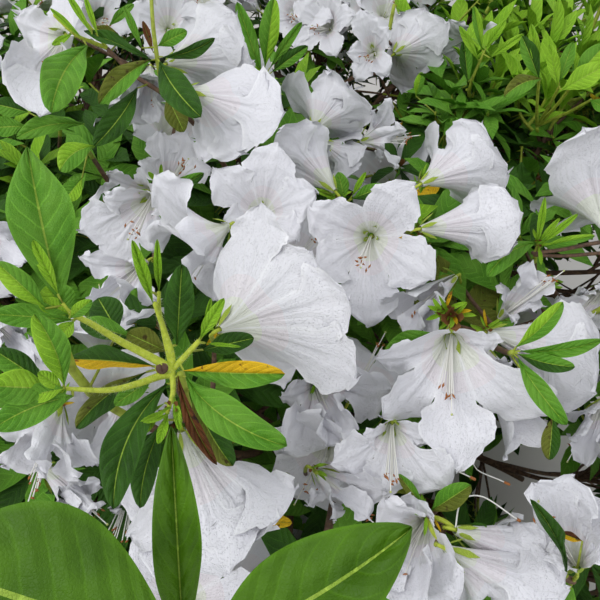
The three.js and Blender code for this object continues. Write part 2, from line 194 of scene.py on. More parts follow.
# Picks points one by one, each as far as it can be from those before it, and closer together on top.
def spreadOut(points, count):
    weights = 1 + tips["closerOnTop"] * levelOf(points)
    apart = np.full(len(points), np.inf)
    picked, nextOne = [], 0
    for _ in range(count):
        picked.append(nextOne)
        apart = np.minimum(apart, weights * np.linalg.norm(points - points[nextOne], axis=1))
        nextOne = int(np.argmax(apart))
    return picked


def bezier(a, b, c, count):
    t = np.linspace(0, 1, count)[:, None]
    return (1 - t) ** 2 * a + 2 * t * (1 - t) * b + t**2 * c


# How far along a line each of its points lies.
def goneBy(line):
    return np.concatenate([[0], np.cumsum(np.linalg.norm(np.diff(line, axis=0), axis=1))])


def evenly(line, count):
    along = goneBy(line)
    at = np.linspace(0, along[-1], count)
    return np.stack([np.interp(at, along, line[:, k]) for k in range(3)], -1)


def pointAt(line, share):
    at = share * (len(line) - 1)
    low = min(int(at), len(line) - 2)
    return line[low] + (line[low + 1] - line[low]) * (at - low)


# A centripetal Catmull-Rom line through a few points.
def smoothLine(points, count):
    points = [np.asarray(p, float) for p in points]
    ends = [2 * points[0] - points[1]] + points + [2 * points[-1] - points[-2]]
    found = []
    for k in range(1, len(ends) - 2):
        p = ends[k - 1:k + 3]
        knots = np.cumsum([0] + [max(np.linalg.norm(b - a), 1e-6) ** 0.5 for a, b in zip(p, p[1:])])
        t = np.linspace(knots[1], knots[2], 13)[:, None]

        def mix(a, b, low, high):
            share = (t - knots[low]) / (knots[high] - knots[low])
            return a + (b - a) * share

        once = [mix(p[i], p[i + 1], i, i + 1) for i in range(3)]
        twice = [mix(once[i], once[i + 1], i, i + 2) for i in range(2)]
        line = mix(*twice, 1, 2)
        found.append(line if k == 1 else line[1:])
    return evenly(np.concatenate(found), count)


# Two directions square to an axis and to each other.
def squareTo(axis, guide=None):
    if guide is None:
        guide = upward if abs(axis[2]) < 0.95 else [1, 0, 0]
    first = unit(np.cross(axis, guide))
    return first, np.cross(axis, first)


def spokesAt(axis, turns, guide=None):
    first, second = squareTo(axis, guide)
    return np.cos(turns)[:, None] * first + np.sin(turns)[:, None] * second


# Spokes square to an axis, and the directions that open from it toward them.
def fan(axis, turns, opened, guide=None):
    spokes = spokesAt(axis, turns, guide)
    return spokes, axis * np.cos(opened)[:, None] + spokes * np.sin(opened)[:, None]


# The masses, each with the bough that carries it, in the order of the solids.
def listMasses():
    found = [{"name": "top", "toward": upward.copy(), "radii": limb["topRadii"], "carrier": None}]
    for k in range(rings["count"]):
        turn = rings["firstTurn"] + 360 / rings["count"] * k
        upper = {"name": f"upper_{k + 1}", "toward": heading(turn, rings["upperElevation"]),
                 "radii": limb["upperRadii"], "carrier": None}
        found.append(upper)
        for index, hand in enumerate((-1, 1)):
            found.append({
                "name": f"lower_{2 * k + index + 1}",
                "toward": heading(turn + hand * rings["spread"], rings["lowerElevation"] + hand * rings["stagger"]),
                "radii": limb["lowerRadii"], "carrier": upper, "leavesAt": limb["leaves"][index],
            })
    for mass in found:
        mass["middle"] = crownPoint(mass["toward"], rings["centreShare"])
        mass["tips"] = []
        mass["line"] = boughLine(mass)
    return found


def boughLine(mass):
    end = crownPoint(mass["toward"], limb["endShare"])
    flat = mass["toward"] * [1, 1, 0]
    if mass["carrier"]:
        start = pointAt(mass["carrier"]["line"], mass["leavesAt"])
        bend = (start + end) / 2 - upward * limb["sag"]
    else:
        start = np.array([*mainStem["lean"], mainStem["height"] - limb["rootDepth"]]) + flat * limb["rootOut"]
        bend = (start + end) / 2 + flat * limb["spread"]
    return evenly(bezier(start, bend, end, 90), 41)


masses = listMasses()
middles = np.array([mass["middle"] for mass in masses])


def wallDistance(mass, point):
    apart = middles - mass["middle"]
    size = np.linalg.norm(apart, axis=1)
    keep = size > 1
    wall = (middles[keep] + mass["middle"]) / 2
    return np.min(-np.sum((point - wall) * apart[keep], axis=1) / size[keep])


def nearestMass(point):
    return masses[int(np.argmin(np.sum((middles - point) ** 2, axis=1)))]


def onLeafySide(point, nearer=0):
    return (point[0] > leafySide["fromX"] - nearer and point[1] > leafySide["fromY"]
            and point[2] > leafySide["fromZ"])


def tipKind(point, chance):
    share = bloomShare["atSkirt"] + (bloomShare["onTop"] - bloomShare["atSkirt"]) * levelOf(point)
    return "bloom" if chance < (leafySide["share"] if onLeafySide(point) else share) else "leafy"


def addTip(point, outward, kind):
    mass = nearestMass(point)
    tries = 0
    while wallDistance(mass, point) < tips["wallGap"] and tries < tips["pullTries"]:
        point = point + (crownPoint(mass["toward"], tips["pullTo"]) - point) * tips["pull"]
        tries += 1
    mass["tips"].append({"point": point, "outward": outward, "kind": kind})


def dealTips():
    places = crownPoint(directions(tips["candidates"], tips["below"]))
    least, spread = tips["depthSpread"]
    for k, index in enumerate(spreadOut(places, tips["count"])):
        draw = seeded(tips["seed"] + k)
        point = crownCentre + (places[index] - crownCentre) * (1 - tips["depth"] * (least + spread * draw()))
        kind = tipKind(point, draw())
        outward = crownNormal(point)
        if k % tallShoots["every"] == tallShoots["first"] and point[2] > tallShoots["from"]:
            kind = "tall"
            point = point + upward * (tallShoots["least"] + tallShoots["spread"] * draw())
        addTip(point, outward, kind)
    for place in tallShoots["places"]:
        addTip(np.array(place, float), upward.copy(), "tall")


crownCentre = np.array([0, 0, crown["waist"]])
dealTips()


# Twigs leave each mass's stem for its tips in pairs, and fork on the way.
def growTwigs(mass):
    start = mass["line"][-1]
    tangent = unit(start - mass["line"][-2])
    hub = crownPoint(mass["toward"], twig["hubShare"])
    bend = start + tangent * np.linalg.norm(hub - start) / 2
    mass["stem"] = evenly(bezier(start, bend, hub, 60), twig["stemSteps"])
    side, other = squareTo(mass["toward"])
    for tip in mass["tips"]:
        offset = tip["point"] - hub
        tip["turn"] = math.atan2(offset @ other, offset @ side)
        tip["wide"] = math.hypot(offset @ other, offset @ side)
    mass["tips"].sort(key=lambda tip: tip["turn"])
    widest = max(tip["wide"] for tip in mass["tips"])
    outer, span = twig["footShares"]
    for k in range(0, len(mass["tips"]), 2):
        pair = mass["tips"][k:k + 2]
        middle = (pair[0]["point"] + pair[-1]["point"]) / 2
        foot = pointAt(mass["stem"], outer - span * pair[0]["wide"] / widest)
        fork = foot + (middle - foot) * twig["forkShare"] + mass["toward"] * twig["forkRise"]
        for which, tip in enumerate(pair):
            inner = tip["point"] - tip["outward"] * twig["turnIn"]
            route = [fork, inner, tip["point"]] if which else [foot, fork, inner, tip["point"]]
            tip["route"] = smoothLine(route, twig["tipSteps"])
            tip["radii"] = twig["tipRadii"] if which else twig["forkRadii"]


for mass in masses:
    growTwigs(mass)
allTips = [tip for mass in masses for tip in mass["tips"]]
print("rule grown:", len(masses), "masses,", len(allTips), "tips")


lying = {"lift": 1.5, "slope": 0.02}  # what hangs low lies on the ground


# Gathers many small shapes of one kind, each triangle with the number of its finish.
class Heap:
    def __init__(self):
        self.points, self.faces, self.looks, self.blades, self.count = [], [], [], [], 0
        self.lines, self.feet = [], []  # middle lines of its tubes, and leaves' feet that stand on them

    # blades is each point's place across (-1 to 1) and along (0 to 1) its own leaf or lobe
    def add(self, points, faces, looks, blades=0.0):
        points = np.array(points, float).reshape(-1, 3)
        points[:, 2] = np.maximum(points[:, 2], lying["lift"] + lying["slope"] * np.abs(points[:, 2]))
        faces = np.asarray(faces, int).reshape(-1, 3)
        self.points.append(points)
        self.faces.append(faces + self.count)
        self.looks.append(np.broadcast_to(np.asarray(looks, int), len(faces)))
        self.blades.append(np.broadcast_to(blades, (len(points), 2)))
        self.count += len(points)


def gridFaces(rows, columns, around=False):
    wide = columns if around else columns - 1
    r, c = np.meshgrid(np.arange(rows - 1), np.arange(wide), indexing="ij")
    a, b = r * columns + c, r * columns + (c + 1) % columns
    quads = np.stack([a, b, b + columns, a + columns], -1).reshape(-1, 4)
    return np.stack([quads[:, [0, 1, 2]], quads[:, [0, 2, 3]]], 1).reshape(-1, 3)


# The direction of each line at each of its points, and two directions square to it.
def framesOf(lines):
    tangent = unit(np.gradient(lines, axis=1))
    mean = unit(lines[:, -1] - lines[:, 0])
    guide = np.where(np.abs(mean[:, 2:3]) < 0.9, upward, np.array([1.0, 0, 0]))[:, None, :]
    first = unit(np.cross(tangent, guide))
    return tangent, first, np.cross(tangent, first)


# Tubes along many lines of the same number of points, closed at their ends by a cone's tip.
tubeTip = 0.8


def addTubes(heap, lines, radii, sides, looks):
    lines = np.reshape(lines, (-1, *np.shape(lines)[-2:]))
    heap.lines.append(lines)
    many, steps, _ = lines.shape
    radii = np.broadcast_to(radii, (many, steps))
    tangent, first, second = framesOf(lines)
    angle = 2 * math.pi * np.arange(sides) / sides
    ring = first[:, :, None] * np.cos(angle)[:, None] + second[:, :, None] * np.sin(angle)[:, None]
    skin = lines[:, :, None] + ring * radii[:, :, None, None]
    cap = lines[:, -1] + tangent[:, -1] * radii[:, -1:] * tubeTip
    per = steps * sides + 1
    points = np.concatenate([skin.reshape(many, -1, 3), cap[:, None]], 1)
    last = (steps - 1) * sides + np.arange(sides)
    faces = np.concatenate([gridFaces(steps, sides, True),
                            np.stack([last, np.roll(last, -1), np.full(sides, per - 1)], -1)])
    looks = np.broadcast_to(looks, steps - 1)
    shades = np.concatenate([np.repeat(looks, 2 * sides), np.full(sides, looks[-1])])
    every = (faces[None] + (np.arange(many) * per)[:, None, None]).reshape(-1, 3)
    heap.add(points.reshape(-1, 3), every, np.tile(shades, many))


# A leaf of unit length: half its width at a share of its length, then folded, bent and waved.
leafForm = {"widest": 0.55, "point": 0.56, "stalk": 0.05, "rib": 0.035, "veins": 8, "rake": 0.17, "slim": 0.36,
            "tipHalf": 0.012, "flatter": 0.35, "ribSink": 1.4, "pucker": 0.3}


def leafOutline(t, point):
    peak = leafForm["widest"]
    rising = np.sin(np.clip(t / peak, 0, 1) * math.pi / 2) ** 1.25
    falling = np.cos(np.clip((t - peak) / (1 - peak), 0, 1) * math.pi / 2) ** point
    return leafForm["stalk"] + (1 - leafForm["stalk"]) * np.where(t < peak, rising, falling) * (t < 0.999)


def leafTemplate(stations, columns, fold, droop, twist=0.0, sweep=0.0, relief=0.0, wave=0.0,
                 bow=0.0, point=leafForm["point"]):
    t = np.linspace(0, 1, stations)[:, None]
    u = np.asarray(columns, float)[None, :]
    half = leafOutline(t, point) * 0.5
    half[-1] = leafForm["tipHalf"]
    x = u * half * leafForm["slim"]
    blade = np.abs(u)
    z = (fold * np.abs(x) * (1 - leafForm["flatter"] * blade)
         + wave * np.sin(9 * t + 2 * u) * blade**2 * half * leafForm["slim"])
    if relief:
        vein = np.abs(np.sin((t - leafForm["rake"] * blade) * math.pi * leafForm["veins"]))
        pucker = leafForm["pucker"] * np.sin(31 * t + 8 * u) * np.sin(23 * t - 11 * u)
        z = z + relief * ((vein**0.5 + pucker) * np.sin(math.pi * blade) - leafForm["ribSink"] * (blade < 0.1))
    turned = twist * (t - 0.2)
    x, z = x * np.cos(turned) - z * np.sin(turned), x * np.sin(turned) + z * np.cos(turned)
    droop = droop or 1e-6
    bend = droop * t
    y = np.sin(bend) / droop + z * np.sin(bend)
    z = (np.cos(bend) - 1) / droop + z * np.cos(bend)
    x = x + sweep * 4 * t * (1 - t)
    z = z + bow * 4 * t * (1 - t)
    points = np.stack(np.broadcast_arrays(x, y, z), -1).reshape(-1, 3)
    faces = gridFaces(stations, u.shape[1])
    middle = np.repeat((u[0, :-1] + u[0, 1:]) / 2, 2)
    part = np.tile(np.where(np.abs(middle) < 1e-6, 2, np.where(middle < 0, 0, 1)), stations - 1)
    return points, faces, part, np.stack(np.broadcast_arrays(u, t), -1).reshape(-1, 2)


rib = leafForm["rib"]
plainColumns = (-1, 0, 1)
ribbedColumns = (-1, -0.5, -rib, rib, 0.5, 1)
fineColumns = (-1, -0.88, -0.7, -0.52, -0.35, -0.18, -rib, rib, 0.18, 0.35, 0.52, 0.7, 0.88, 1)
# Of these tints, broad is a green darkened as painted shade, and deep serves partly as painted shade.
leafTints = ["deep", "mid", "olive", "fresh", "old", "spent", "rib", "broad"]
leafRng = np.random.default_rng(11)


# Twelve forms of a leaf, between limits of fold, droop, twist and sweep.
def leafForms(stations, columns, limits, wave=0.0):
    draws = [leafRng.uniform(low, high, 12) for low, high in limits]
    return [leafTemplate(stations, columns, *values, wave=wave) for values in zip(*draws)]


plainLeaves = leafForms(5, plainColumns, [(0.3, 0.8), (0.1, 0.9), (-0.5, 0.5), (-0.05, 0.05)])
ribbedLeaves = leafForms(8, ribbedColumns, [(0.2, 0.7), (0.0, 0.9), (-0.5, 0.5), (-0.06, 0.06)], 0.2)


# Places leaves of one template. A blade takes its leaf's tint, or one for each half, and the rib its own.
def addLeaves(heap, template, feet, along, faceUp, lengths, widths, tint):
    points, faces, part, places = template
    many = len(feet)
    along = unit(along)
    side = unit(np.cross(along, faceUp))
    sizes = np.stack([np.divide(widths, leafForm["slim"]), lengths, lengths], -1)
    placed = np.asarray(feet)[:, None] + (points * sizes[:, None]) @ np.stack([side, along, np.cross(side, along)], 1)
    tints = np.broadcast_to(np.reshape(tint, (many, -1)), (many, 2))
    shades = np.column_stack([tints, np.full(many, leafTints.index("rib"))])[:, part]
    every = faces + (np.arange(many) * len(points))[:, None, None]
    heap.add(placed.reshape(-1, 3), every.reshape(-1, 3), shades.reshape(-1), np.tile(places, (many, 1)))


# One open flower: five lobes on a common tube, each run out to its own tip.
flower = {
    "neck": 2.3, "throat": 0.25, "blush": 0.45, "fused": 0.54, "halfWidth": 20.5, "lobeLength": 68, "widest": 0.42,
    "ruffle": 2.0, "roll": 2.2, "groove": 1.1, "overlap": 1.3, "longest": 66, "frill": 2.3, "crease": 0.4,
    "tubeShare": 0.34, "crumple": 0.7, "nod": 3, "tip": (1.35, 2.0), "blunt": 0.92, "tubeTurn": 1.3, "lobeTurn": 1.5,
    "edgeWaves": ((0.06, 19, 1), (0.035, 43, 2)), "sizes": (0.92, 1.08), "nodFrom": 0.7, "nods": (-0.4, 1.4),
}


# A lobe's line from the neck out to its tip, in the lobe's own plane, and its length.
def lobeLine(reach, high, shares):
    fine = np.linspace(0, 1, 60)[:, None]
    knots = np.array([[flower["neck"], 0], [5.5, 13], [0.55 * reach + 1, high * 0.85 + 3], [reach, high]])
    line = sum(many * (1 - fine) ** (3 - k) * fine**k * knots[k] for k, many in enumerate((1, 3, 3, 1)))
    gone = goneBy(line)
    return [np.interp(shares * gone[-1], gone, line[:, i])[:, None] for i in (0, 1)], gone[-1]


# The turn from a lobe's line to its wavy edge, which swells past the tube and then draws in to the tip.
def lobeEdge(half, full, tip, free, fused, shares, centre, rng):
    half = min(half, flower["tubeTurn"])
    start = half * np.interp(fused, shares, centre[:, 0])
    swell = np.clip(free / flower["widest"], 0, 1)
    width = start + (full - start) * swell * swell * (3 - 2 * swell)
    narrow = np.clip((free - flower["widest"]) / (1 - flower["widest"]), 0, 1)
    width = width * np.maximum(1 - narrow**tip, 0) ** flower["blunt"]
    phase = rng.uniform(0, fullTurn)
    frill = sum(size * np.sin(many * free + times * phase) for size, many, times in flower["edgeWaves"])
    width = width * (1 + flower["frill"] * free * frill)
    spread = np.where(free > 0, np.maximum(width, 0.5) / np.maximum(centre, 3), half)
    return np.minimum(spread, flower["lobeTurn"])


def corolla(heap, foot, axis, lobeTips, rng, across, along, wide=1.0, longest=flower["longest"],
            fused=flower["fused"]):
    rel = lobeTips - foot
    high = rel @ axis
    out = rel - high[:, None] * axis
    reach = np.linalg.norm(out, axis=1)
    far = np.hypot(reach, high)
    shrink = np.minimum(1, longest / far)
    high, reach = high * shrink, np.maximum(reach * shrink, 4)
    e1, e2 = squareTo(axis)
    theta = np.arctan2(out @ e2, out @ e1)
    order = np.argsort(theta)
    theta, high, reach = theta[order], high[order], reach[order]
    # fewer rows up the plain tube, more along the frilled lobes
    tubeRows = round(along * flower["tubeShare"])
    s = np.concatenate([np.linspace(0, fused, tubeRows + 1)[:-1], np.linspace(fused, 1, along + 1 - tubeRows)])
    u = np.linspace(-1, 1, across + 1)[None, :]
    count = len(theta)
    profiles, lengths = zip(*(lobeLine(r, h, s) for r, h in zip(reach, high)))
    profiles = np.array(profiles)
    free = np.clip((s - fused) / (1 - fused), 0, 1)[:, None]
    joined = 0.5 * u * u * (1 - np.clip(free * 2.5, 0, 1))
    for k in range(count):
        before = (theta[k] - theta[k - 1]) % (2 * math.pi)
        after = (theta[(k + 1) % count] - theta[k]) % (2 * math.pi)
        centre = profiles[k][0]
        full = flower["halfWidth"] * wide * lengths[k] / flower["lobeLength"] * rng.uniform(*flower["sizes"])
        tip = rng.uniform(*flower["tip"])
        edges = [lobeEdge(half, full, tip, free, fused, s, centre, rng) for half in (before / 2, after / 2)]
        angle = theta[k] + np.where(u < 0, u * edges[0], u * edges[1])
        # the tube is one sheet, so a lobe's edges there lie midway to the next lobe's line
        beside = np.where(u < 0, profiles[k - 1], profiles[(k + 1) % count])
        radius, height = profiles[k] * (1 - joined) + beside * joined
        push = flower["overlap"] * u * np.clip(free * 3, 0, 1)
        spokes = np.cos(angle)[..., None] * e1 + np.sin(angle)[..., None] * e2
        grid = foot + axis * height[..., None] + spokes * (radius + push)[..., None]
        normal = unit(np.cross(np.gradient(grid, axis=0), np.gradient(grid, axis=1)))
        inward = normal * np.sign(np.sum(normal * (axis * 2 - spokes), -1, keepdims=True))
        phases = rng.uniform(0, fullTurn, 4)
        edge = np.abs(u)
        waves = np.where(u < 0, np.sin(15 * free + phases[0]) + 0.5 * np.sin(31 * free + phases[1]),
                         np.sin(16 * free + phases[2]) + 0.5 * np.sin(29 * free + phases[3]))
        veins = np.cos(u * (10 + 5 * (1 - free)) + 0.4 * np.sin(9 * free + phases[1]))
        groove = np.exp(-((u / 0.16) ** 2)) * np.sin(math.pi * np.clip(s * 1.1, 0, 1))[:, None]
        crumple = np.sin(6 * u + 7 * free + phases[2]) * np.sin(11 * free - 4 * u + phases[3])
        nod = np.clip((free - flower["nodFrom"]) / (1 - flower["nodFrom"]), 0, 1)
        lift = (flower["ruffle"] * free * edge**1.6 * waves - flower["roll"] * free**1.5 * edge**2.2
                + flower["groove"] * groove + flower["crease"] * veins * (1 - edge**2) * np.sin(math.pi * s)[:, None]
                + flower["crumple"] * free * crumple
                - flower["nod"] * nod**2 * rng.uniform(*flower["nods"]))
        grid = grid + inward * lift[..., None]
        rows = np.repeat(s[:-1], 2 * across)
        shade = np.where(rows < flower["throat"], 2, np.where(rows < flower["blush"], 1, 0))
        heap.add(grid.reshape(-1, 3), gridFaces(along + 1, across + 1), shade,
                 np.stack(np.broadcast_arrays(u, s[:, None]), -1).reshape(-1, 2))


# Stamens lean out along the flower's lower side. The placed flowers have more of them, in more steps.
stamens = {"count": 9, "steps": 7, "fewer": 5, "fewerSteps": 5, "length": 43, "radius": 0.42, "pistil": 55,
           "anther": (0.75, 2.0), "stigma": (0.9, 0.9), "spread": 7, "droop": 10, "up": 2, "sizes": (0.92, 1.08)}


def addStamens(heap, foot, axis, rng, size, count):
    hang = unit(np.cross(axis, np.cross(axis, upward)) + 1e-3)
    side = unit(np.cross(axis, hang))
    steps = stamens["steps"] if count == stamens["count"] else stamens["fewerSteps"]
    lines = []
    for k in range(count + 1):
        pistil = k == count
        long = (stamens["pistil"] if pistil else stamens["length"] * rng.uniform(0.86, 1.1)) * size
        off = side * rng.normal(0, 0.5) + hang * rng.normal(0.25, 0.4)
        if pistil:
            off = hang * 0.5
        a = foot + axis * 2 + unit(off) * 0.7
        b = foot + axis * long * 0.55 + off * stamens["spread"] * 0.5 + hang * stamens["droop"] * 0.7
        c = foot + axis * long * 0.94 + off * stamens["spread"] * size + hang * stamens["droop"] * size
        lines.append(evenly(bezier(a, b, c, 12), steps))
    addTubes(heap, np.array(lines), stamens["radius"], 3, 0)
    faces = [(0, 1, 2), (0, 2, 3), (0, 3, 4), (0, 4, 1), (5, 2, 1), (5, 3, 2), (5, 4, 3), (5, 1, 4)]
    for k, line in enumerate(lines):
        end = line[-1]
        lie = unit(rng.normal(size=3))
        one, two = squareTo(lie, [0.3, 0.5, 0.8])
        w, h = stamens["anther"] if k < count else stamens["stigma"]
        points = [end + lie * h, end + one * w, end + two * w, end - one * w, end - two * w, end - lie * h]
        heap.add(points, faces, 1 if k < count else 2)


# A small green cup of narrow sepals at the flower's foot.
sepal = {"count": 5, "length": 11, "width": 2.6, "open": 42, "spread": 14, "out": 1.6, "uneven": (0.75, 1.25)}
sepalTemplate = leafTemplate(4, plainColumns, 0.4, -0.5)


def addCalyx(heap, foot, axis, rng, size):
    turns = 2 * math.pi * (np.arange(sepal["count"]) + rng.uniform(0, 1)) / sepal["count"]
    opened = np.radians(sepal["open"] + rng.uniform(-sepal["spread"], sepal["spread"], sepal["count"]))
    spokes, along = fan(axis, turns, opened)
    size = size * rng.uniform(*sepal["uneven"], sepal["count"])
    addLeaves(heap, sepalTemplate, foot - axis + spokes * sepal["out"], along, axis - spokes, sepal["length"] * size,
              sepal["width"] * size, np.full(sepal["count"], 0))


# A value in a material. Sums on it add Math nodes.
class Wire:
    def __init__(self, finish, socket):
        self.finish, self.socket = finish, socket

    def maths(self, operation, one, other):
        return self.finish.node("Math", {"operation": operation}, [one, other])

    def __add__(self, other):
        return self.maths("ADD", self, other)

    def __radd__(self, other):
        return self.maths("ADD", other, self)

    def __sub__(self, other):
        return self.maths("SUBTRACT", self, other)

    def __mul__(self, other):
        return self.maths("MULTIPLY", self, other)

    def __rmul__(self, other):
        return self.maths("MULTIPLY", other, self)


# A material and its nodes, each made from its type, its settings and what goes into its sockets.
class Finish:
    def __init__(self, name):
        self.material = bpy.data.materials.new(name)
        self.material.use_nodes = True
        self.tree = self.material.node_tree
        self.tree.nodes.clear()

    def node(self, kind, settings, sockets, output=0):
        made = self.tree.nodes.new("ShaderNode" + kind)
        for key, value in settings.items():
            if key == "stops":
                ramp = made.color_ramp
                while len(ramp.elements) < len(value):
                    ramp.elements.new(0.5)
                for element, (at, colour) in zip(ramp.elements, value):
                    element.position, element.color = at, colour
            else:
                setattr(made, key, value)
        for key, value in sockets.items() if isinstance(sockets, dict) else enumerate(sockets):
            if isinstance(value, Wire):
                self.tree.links.new(value.socket, made.inputs[key])
            else:
                made.inputs[key].default_value = value
        return Wire(self, made.outputs[output]) if made.outputs else None

    def places(self):
        return self.node("TexCoord", {}, {}, "Object")

    def grain(self, scale, detail=3.0, stretch=None):
        where = self.places()
        if stretch:
            where = self.node("Mapping", {}, {"Vector": where, "Scale": stretch})
        return self.node("TexNoise", {}, {"Vector": where, "Scale": scale, "Detail": detail})

    # how far out from the middle of its leaf or lobe a point is, and how far along
    def blade(self):
        place = self.node("Attribute", {"attribute_name": "blade"}, {}, "Vector")
        across = self.node("Math", {"operation": "ABSOLUTE"}, [self.node("SeparateXYZ", {}, [place], "X")])
        return across, self.node("SeparateXYZ", {}, [place], "Y")

    # 0 on each line of a ladder, up to 0.5 midway between two
    def ladder(self, value):
        return self.node("Math", {"operation": "PINGPONG"}, [value, 0.5])

    def between(self, value, low, high, start=0.0, end=1.0):
        return self.node("MapRange", {"interpolation_type": "SMOOTHSTEP"}, [value, low, high, start, end])

    def blend(self, factor, one, other):
        return self.node("Mix", {"data_type": "RGBA"}, {0: factor, 6: one, 7: other}, 2)

    def surface(self, colour, roughness, height, distance, strength, **fixed):
        bump = self.node("Bump", {}, {"Strength": strength, "Distance": distance, "Height": height})
        sockets = {"Base Color": colour, "Roughness": roughness, "Normal": bump, **fixed}
        shader = self.node("BsdfPrincipled", {}, sockets)
        self.node("OutputMaterial", {}, {"Surface": shader})
        return self.material


def hue(code, light=1.0):
    found = []
    for k in (0, 2, 4):
        v = int(code[k:k + 2], 16) / 255
        found.append(light * (v / 12.92 if v <= 0.04045 else ((v + 0.055) / 1.055) ** 2.4))
    return (*found, 1)


# Petals: two near whites, faint veins that run out to the tip, a fine wet grain, small beads of water, and a whiter rim
# painted on as the highlight of dew along the edges.
petalLook = {
    "cloud": 26, "beads": 1000, "beadSize": 0.4, "grain": 1600, "creases": 120, "veins": 6.5, "veinWander": 0.3,
    "veinWidth": 0.16, "veinShow": (0.2, 0.05), "veinFade": (0.2, 0.95), "veinColour": "cfd2c6", "rim": "f8f8fb",
    "rimFrom": 0.75, "rimShow": 0.7, "roughness": 0.42, "dull": 0.12, "coat": 0.1, "beadCoat": 0.8,
    "coatRoughness": 0.12, "sheen": 0.08, "relief": 0.0012, "strength": 0.75,
    "beadHeight": 0.54, "grainHeight": 0.3, "creaseHeight": 0.8, "veinHeight": 0.12,
}


def petalFinish(name, one, other):
    f, look = Finish(name), petalLook
    cloud = f.grain(look["cloud"], 2)
    across, along = f.blade()
    beads = f.node("TexVoronoi", {}, {"Vector": f.places(), "Scale": look["beads"]}, "Distance")
    dome = f.between(beads, 0.0, look["beadSize"], 1.0, 0.0)
    wander = f.grain(look["creases"], 4)
    rungs = f.ladder(across * look["veins"] + look["veinWander"] * wander)
    veins = f.between(rungs, 0.0, look["veinWidth"], 1.0, 0.0)
    height = (look["beadHeight"] * dome + look["grainHeight"] * f.grain(look["grain"], 2)
              + look["creaseHeight"] * wander - look["veinHeight"] * veins)
    colour = f.blend(cloud, hue(one), hue(other))
    fading = f.between(along, *look["veinFade"], *look["veinShow"])
    colour = f.blend(veins * fading, colour, hue(look["veinColour"]))
    # Painted highlight: the lobes' edges blend toward a whiter rim, as where dew catches the light.
    colour = f.blend(f.between(across, look["rimFrom"], 1.0) * look["rimShow"], colour, hue(look["rim"]))
    coat = {"Coat Weight": dome * look["beadCoat"] + look["coat"], "Coat Roughness": look["coatRoughness"]}
    return f.surface(colour, look["roughness"] + look["dull"] * cloud, height, look["relief"], look["strength"],
                     **coat, **{"Sheen Weight": look["sheen"]})


# Leaves: a tone that drifts, paired side veins sunk between swellings, a finer net, a pale rim and fine hairs.
leafLook = {
    "tone": 55, "drift": (0.35, 0.65), "pits": 420, "hairs": 1500, "net": 860, "netWidth": 0.12, "netShow": 0.22,
    "pairs": 8, "rake": 0.17, "arch": 0.07, "wobble": 0.3, "wobbleScale": 130, "veinWidth": 0.1, "veinShow": 0.5,
    "veinEnd": (0.7, 0.98), "rimFrom": 0.84, "rimShow": 0.35, "pale": 1.7, "spots": 260, "spotEdge": (0.62, 0.7),
    "roughness": 0.42, "dull": 0.2, "gloss": 0.26, "relief": 0.0015, "strength": 0.6,
    "pitHeight": 0.4, "hairHeight": 0.25, "netHeight": 1.5, "rungHeight": 1.3,
}


def leafFinish(name, one, other, roughness=leafLook["roughness"], speckle=None, netShow=leafLook["netShow"],
               veinShow=leafLook["veinShow"]):
    f, look = Finish(name), leafLook
    tone = f.node("MapRange", {}, [f.grain(look["tone"], 3), *look["drift"], 0.0, 1.0])
    colour = f.blend(tone, hue(one), hue(other))
    across, along = f.blade()
    raked = (along - look["rake"] * across - look["arch"] * across * across) * look["pairs"]
    rungs = f.ladder(raked + look["wobble"] * f.grain(look["wobbleScale"], 1))
    sideVeins = f.between(rungs, 0.0, look["veinWidth"], 1.0, 0.0) * f.between(across, *look["veinEnd"], 1.0, 0.0)
    net = f.node("TexVoronoi", {"feature": "DISTANCE_TO_EDGE"}, {"Vector": f.places(), "Scale": look["net"]})
    veins = f.between(net, 0.0, look["netWidth"], 1.0, 0.0)
    pale = hue(other, look["pale"])
    colour = f.blend(veins * netShow, colour, pale)
    colour = f.blend(sideVeins * veinShow, colour, pale)
    colour = f.blend(f.between(across, look["rimFrom"], 1.0) * look["rimShow"], colour, pale)
    if speckle:
        spots = f.node("MapRange", {}, [f.grain(look["spots"], 2), *look["spotEdge"], 0.0, 1.0])
        colour = f.blend(spots, colour, hue(speckle))
    pits = f.grain(look["pits"], 2)
    height = (pits * look["pitHeight"] + f.grain(look["hairs"], 1) * look["hairHeight"]
              - veins * (look["netHeight"] * netShow) + rungs * look["rungHeight"])
    return f.surface(colour, roughness + look["dull"] * pits, height, look["relief"], look["strength"],
                     **{"Specular IOR Level": look["gloss"]})


# Twigs: two tones in patches under a fine grain.
twigLook = {"under": 0.1, "over": 0.12, "grain": 1400, "roughness": 0.55, "dull": 0.2, "relief": 0.0006,
            "strength": 0.6}


def twigFinish(name, one, other, scale, patch=0.5):
    f, look = Finish(name), twigLook
    patches = f.node("MapRange", {}, [f.grain(scale, 3), patch - look["under"], patch + look["over"], 0.0, 1.0])
    height = f.grain(look["grain"], 2)
    return f.surface(f.blend(patches, hue(one), hue(other)), look["roughness"] + look["dull"] * patches, height,
                     look["relief"], look["strength"])


# Bark: grey brown, with dark cracks that run up the limb, paler dusty patches and worn scales in relief.
barkLook = {
    "cracks": (60, 5, (1, 1, 0.22)), "scales": (210, 4, (1, 1, 0.5)), "cloud": (18, 3), "crackHeight": 0.7,
    "scaleHeight": 0.3, "dusty": "6f6759", "dustShow": 0.55, "roughness": 0.78, "dull": 0.15, "relief": 0.0025,
    "strength": 0.9, "stops": [(0.32, "2a1e17"), (0.5, "5d4838"), (0.68, "8c7663")],
}


def barkFinish(name):
    f, look = Finish(name), barkLook
    cracks, scales, cloud = (f.grain(*look[key]) for key in ("cracks", "scales", "cloud"))
    stops = [(at, hue(code)) for at, code in look["stops"]]
    brown = f.node("ValToRGB", {"stops": stops}, [cracks])
    colour = f.blend(look["dustShow"] * cloud, brown, hue(look["dusty"]))
    height = cracks * look["crackHeight"] + scales * look["scaleHeight"]
    return f.surface(colour, look["roughness"] + look["dull"] * scales, height, look["relief"], look["strength"])


plainLook = {"dull": 0.1, "relief": 0.0004, "strength": 0.5}


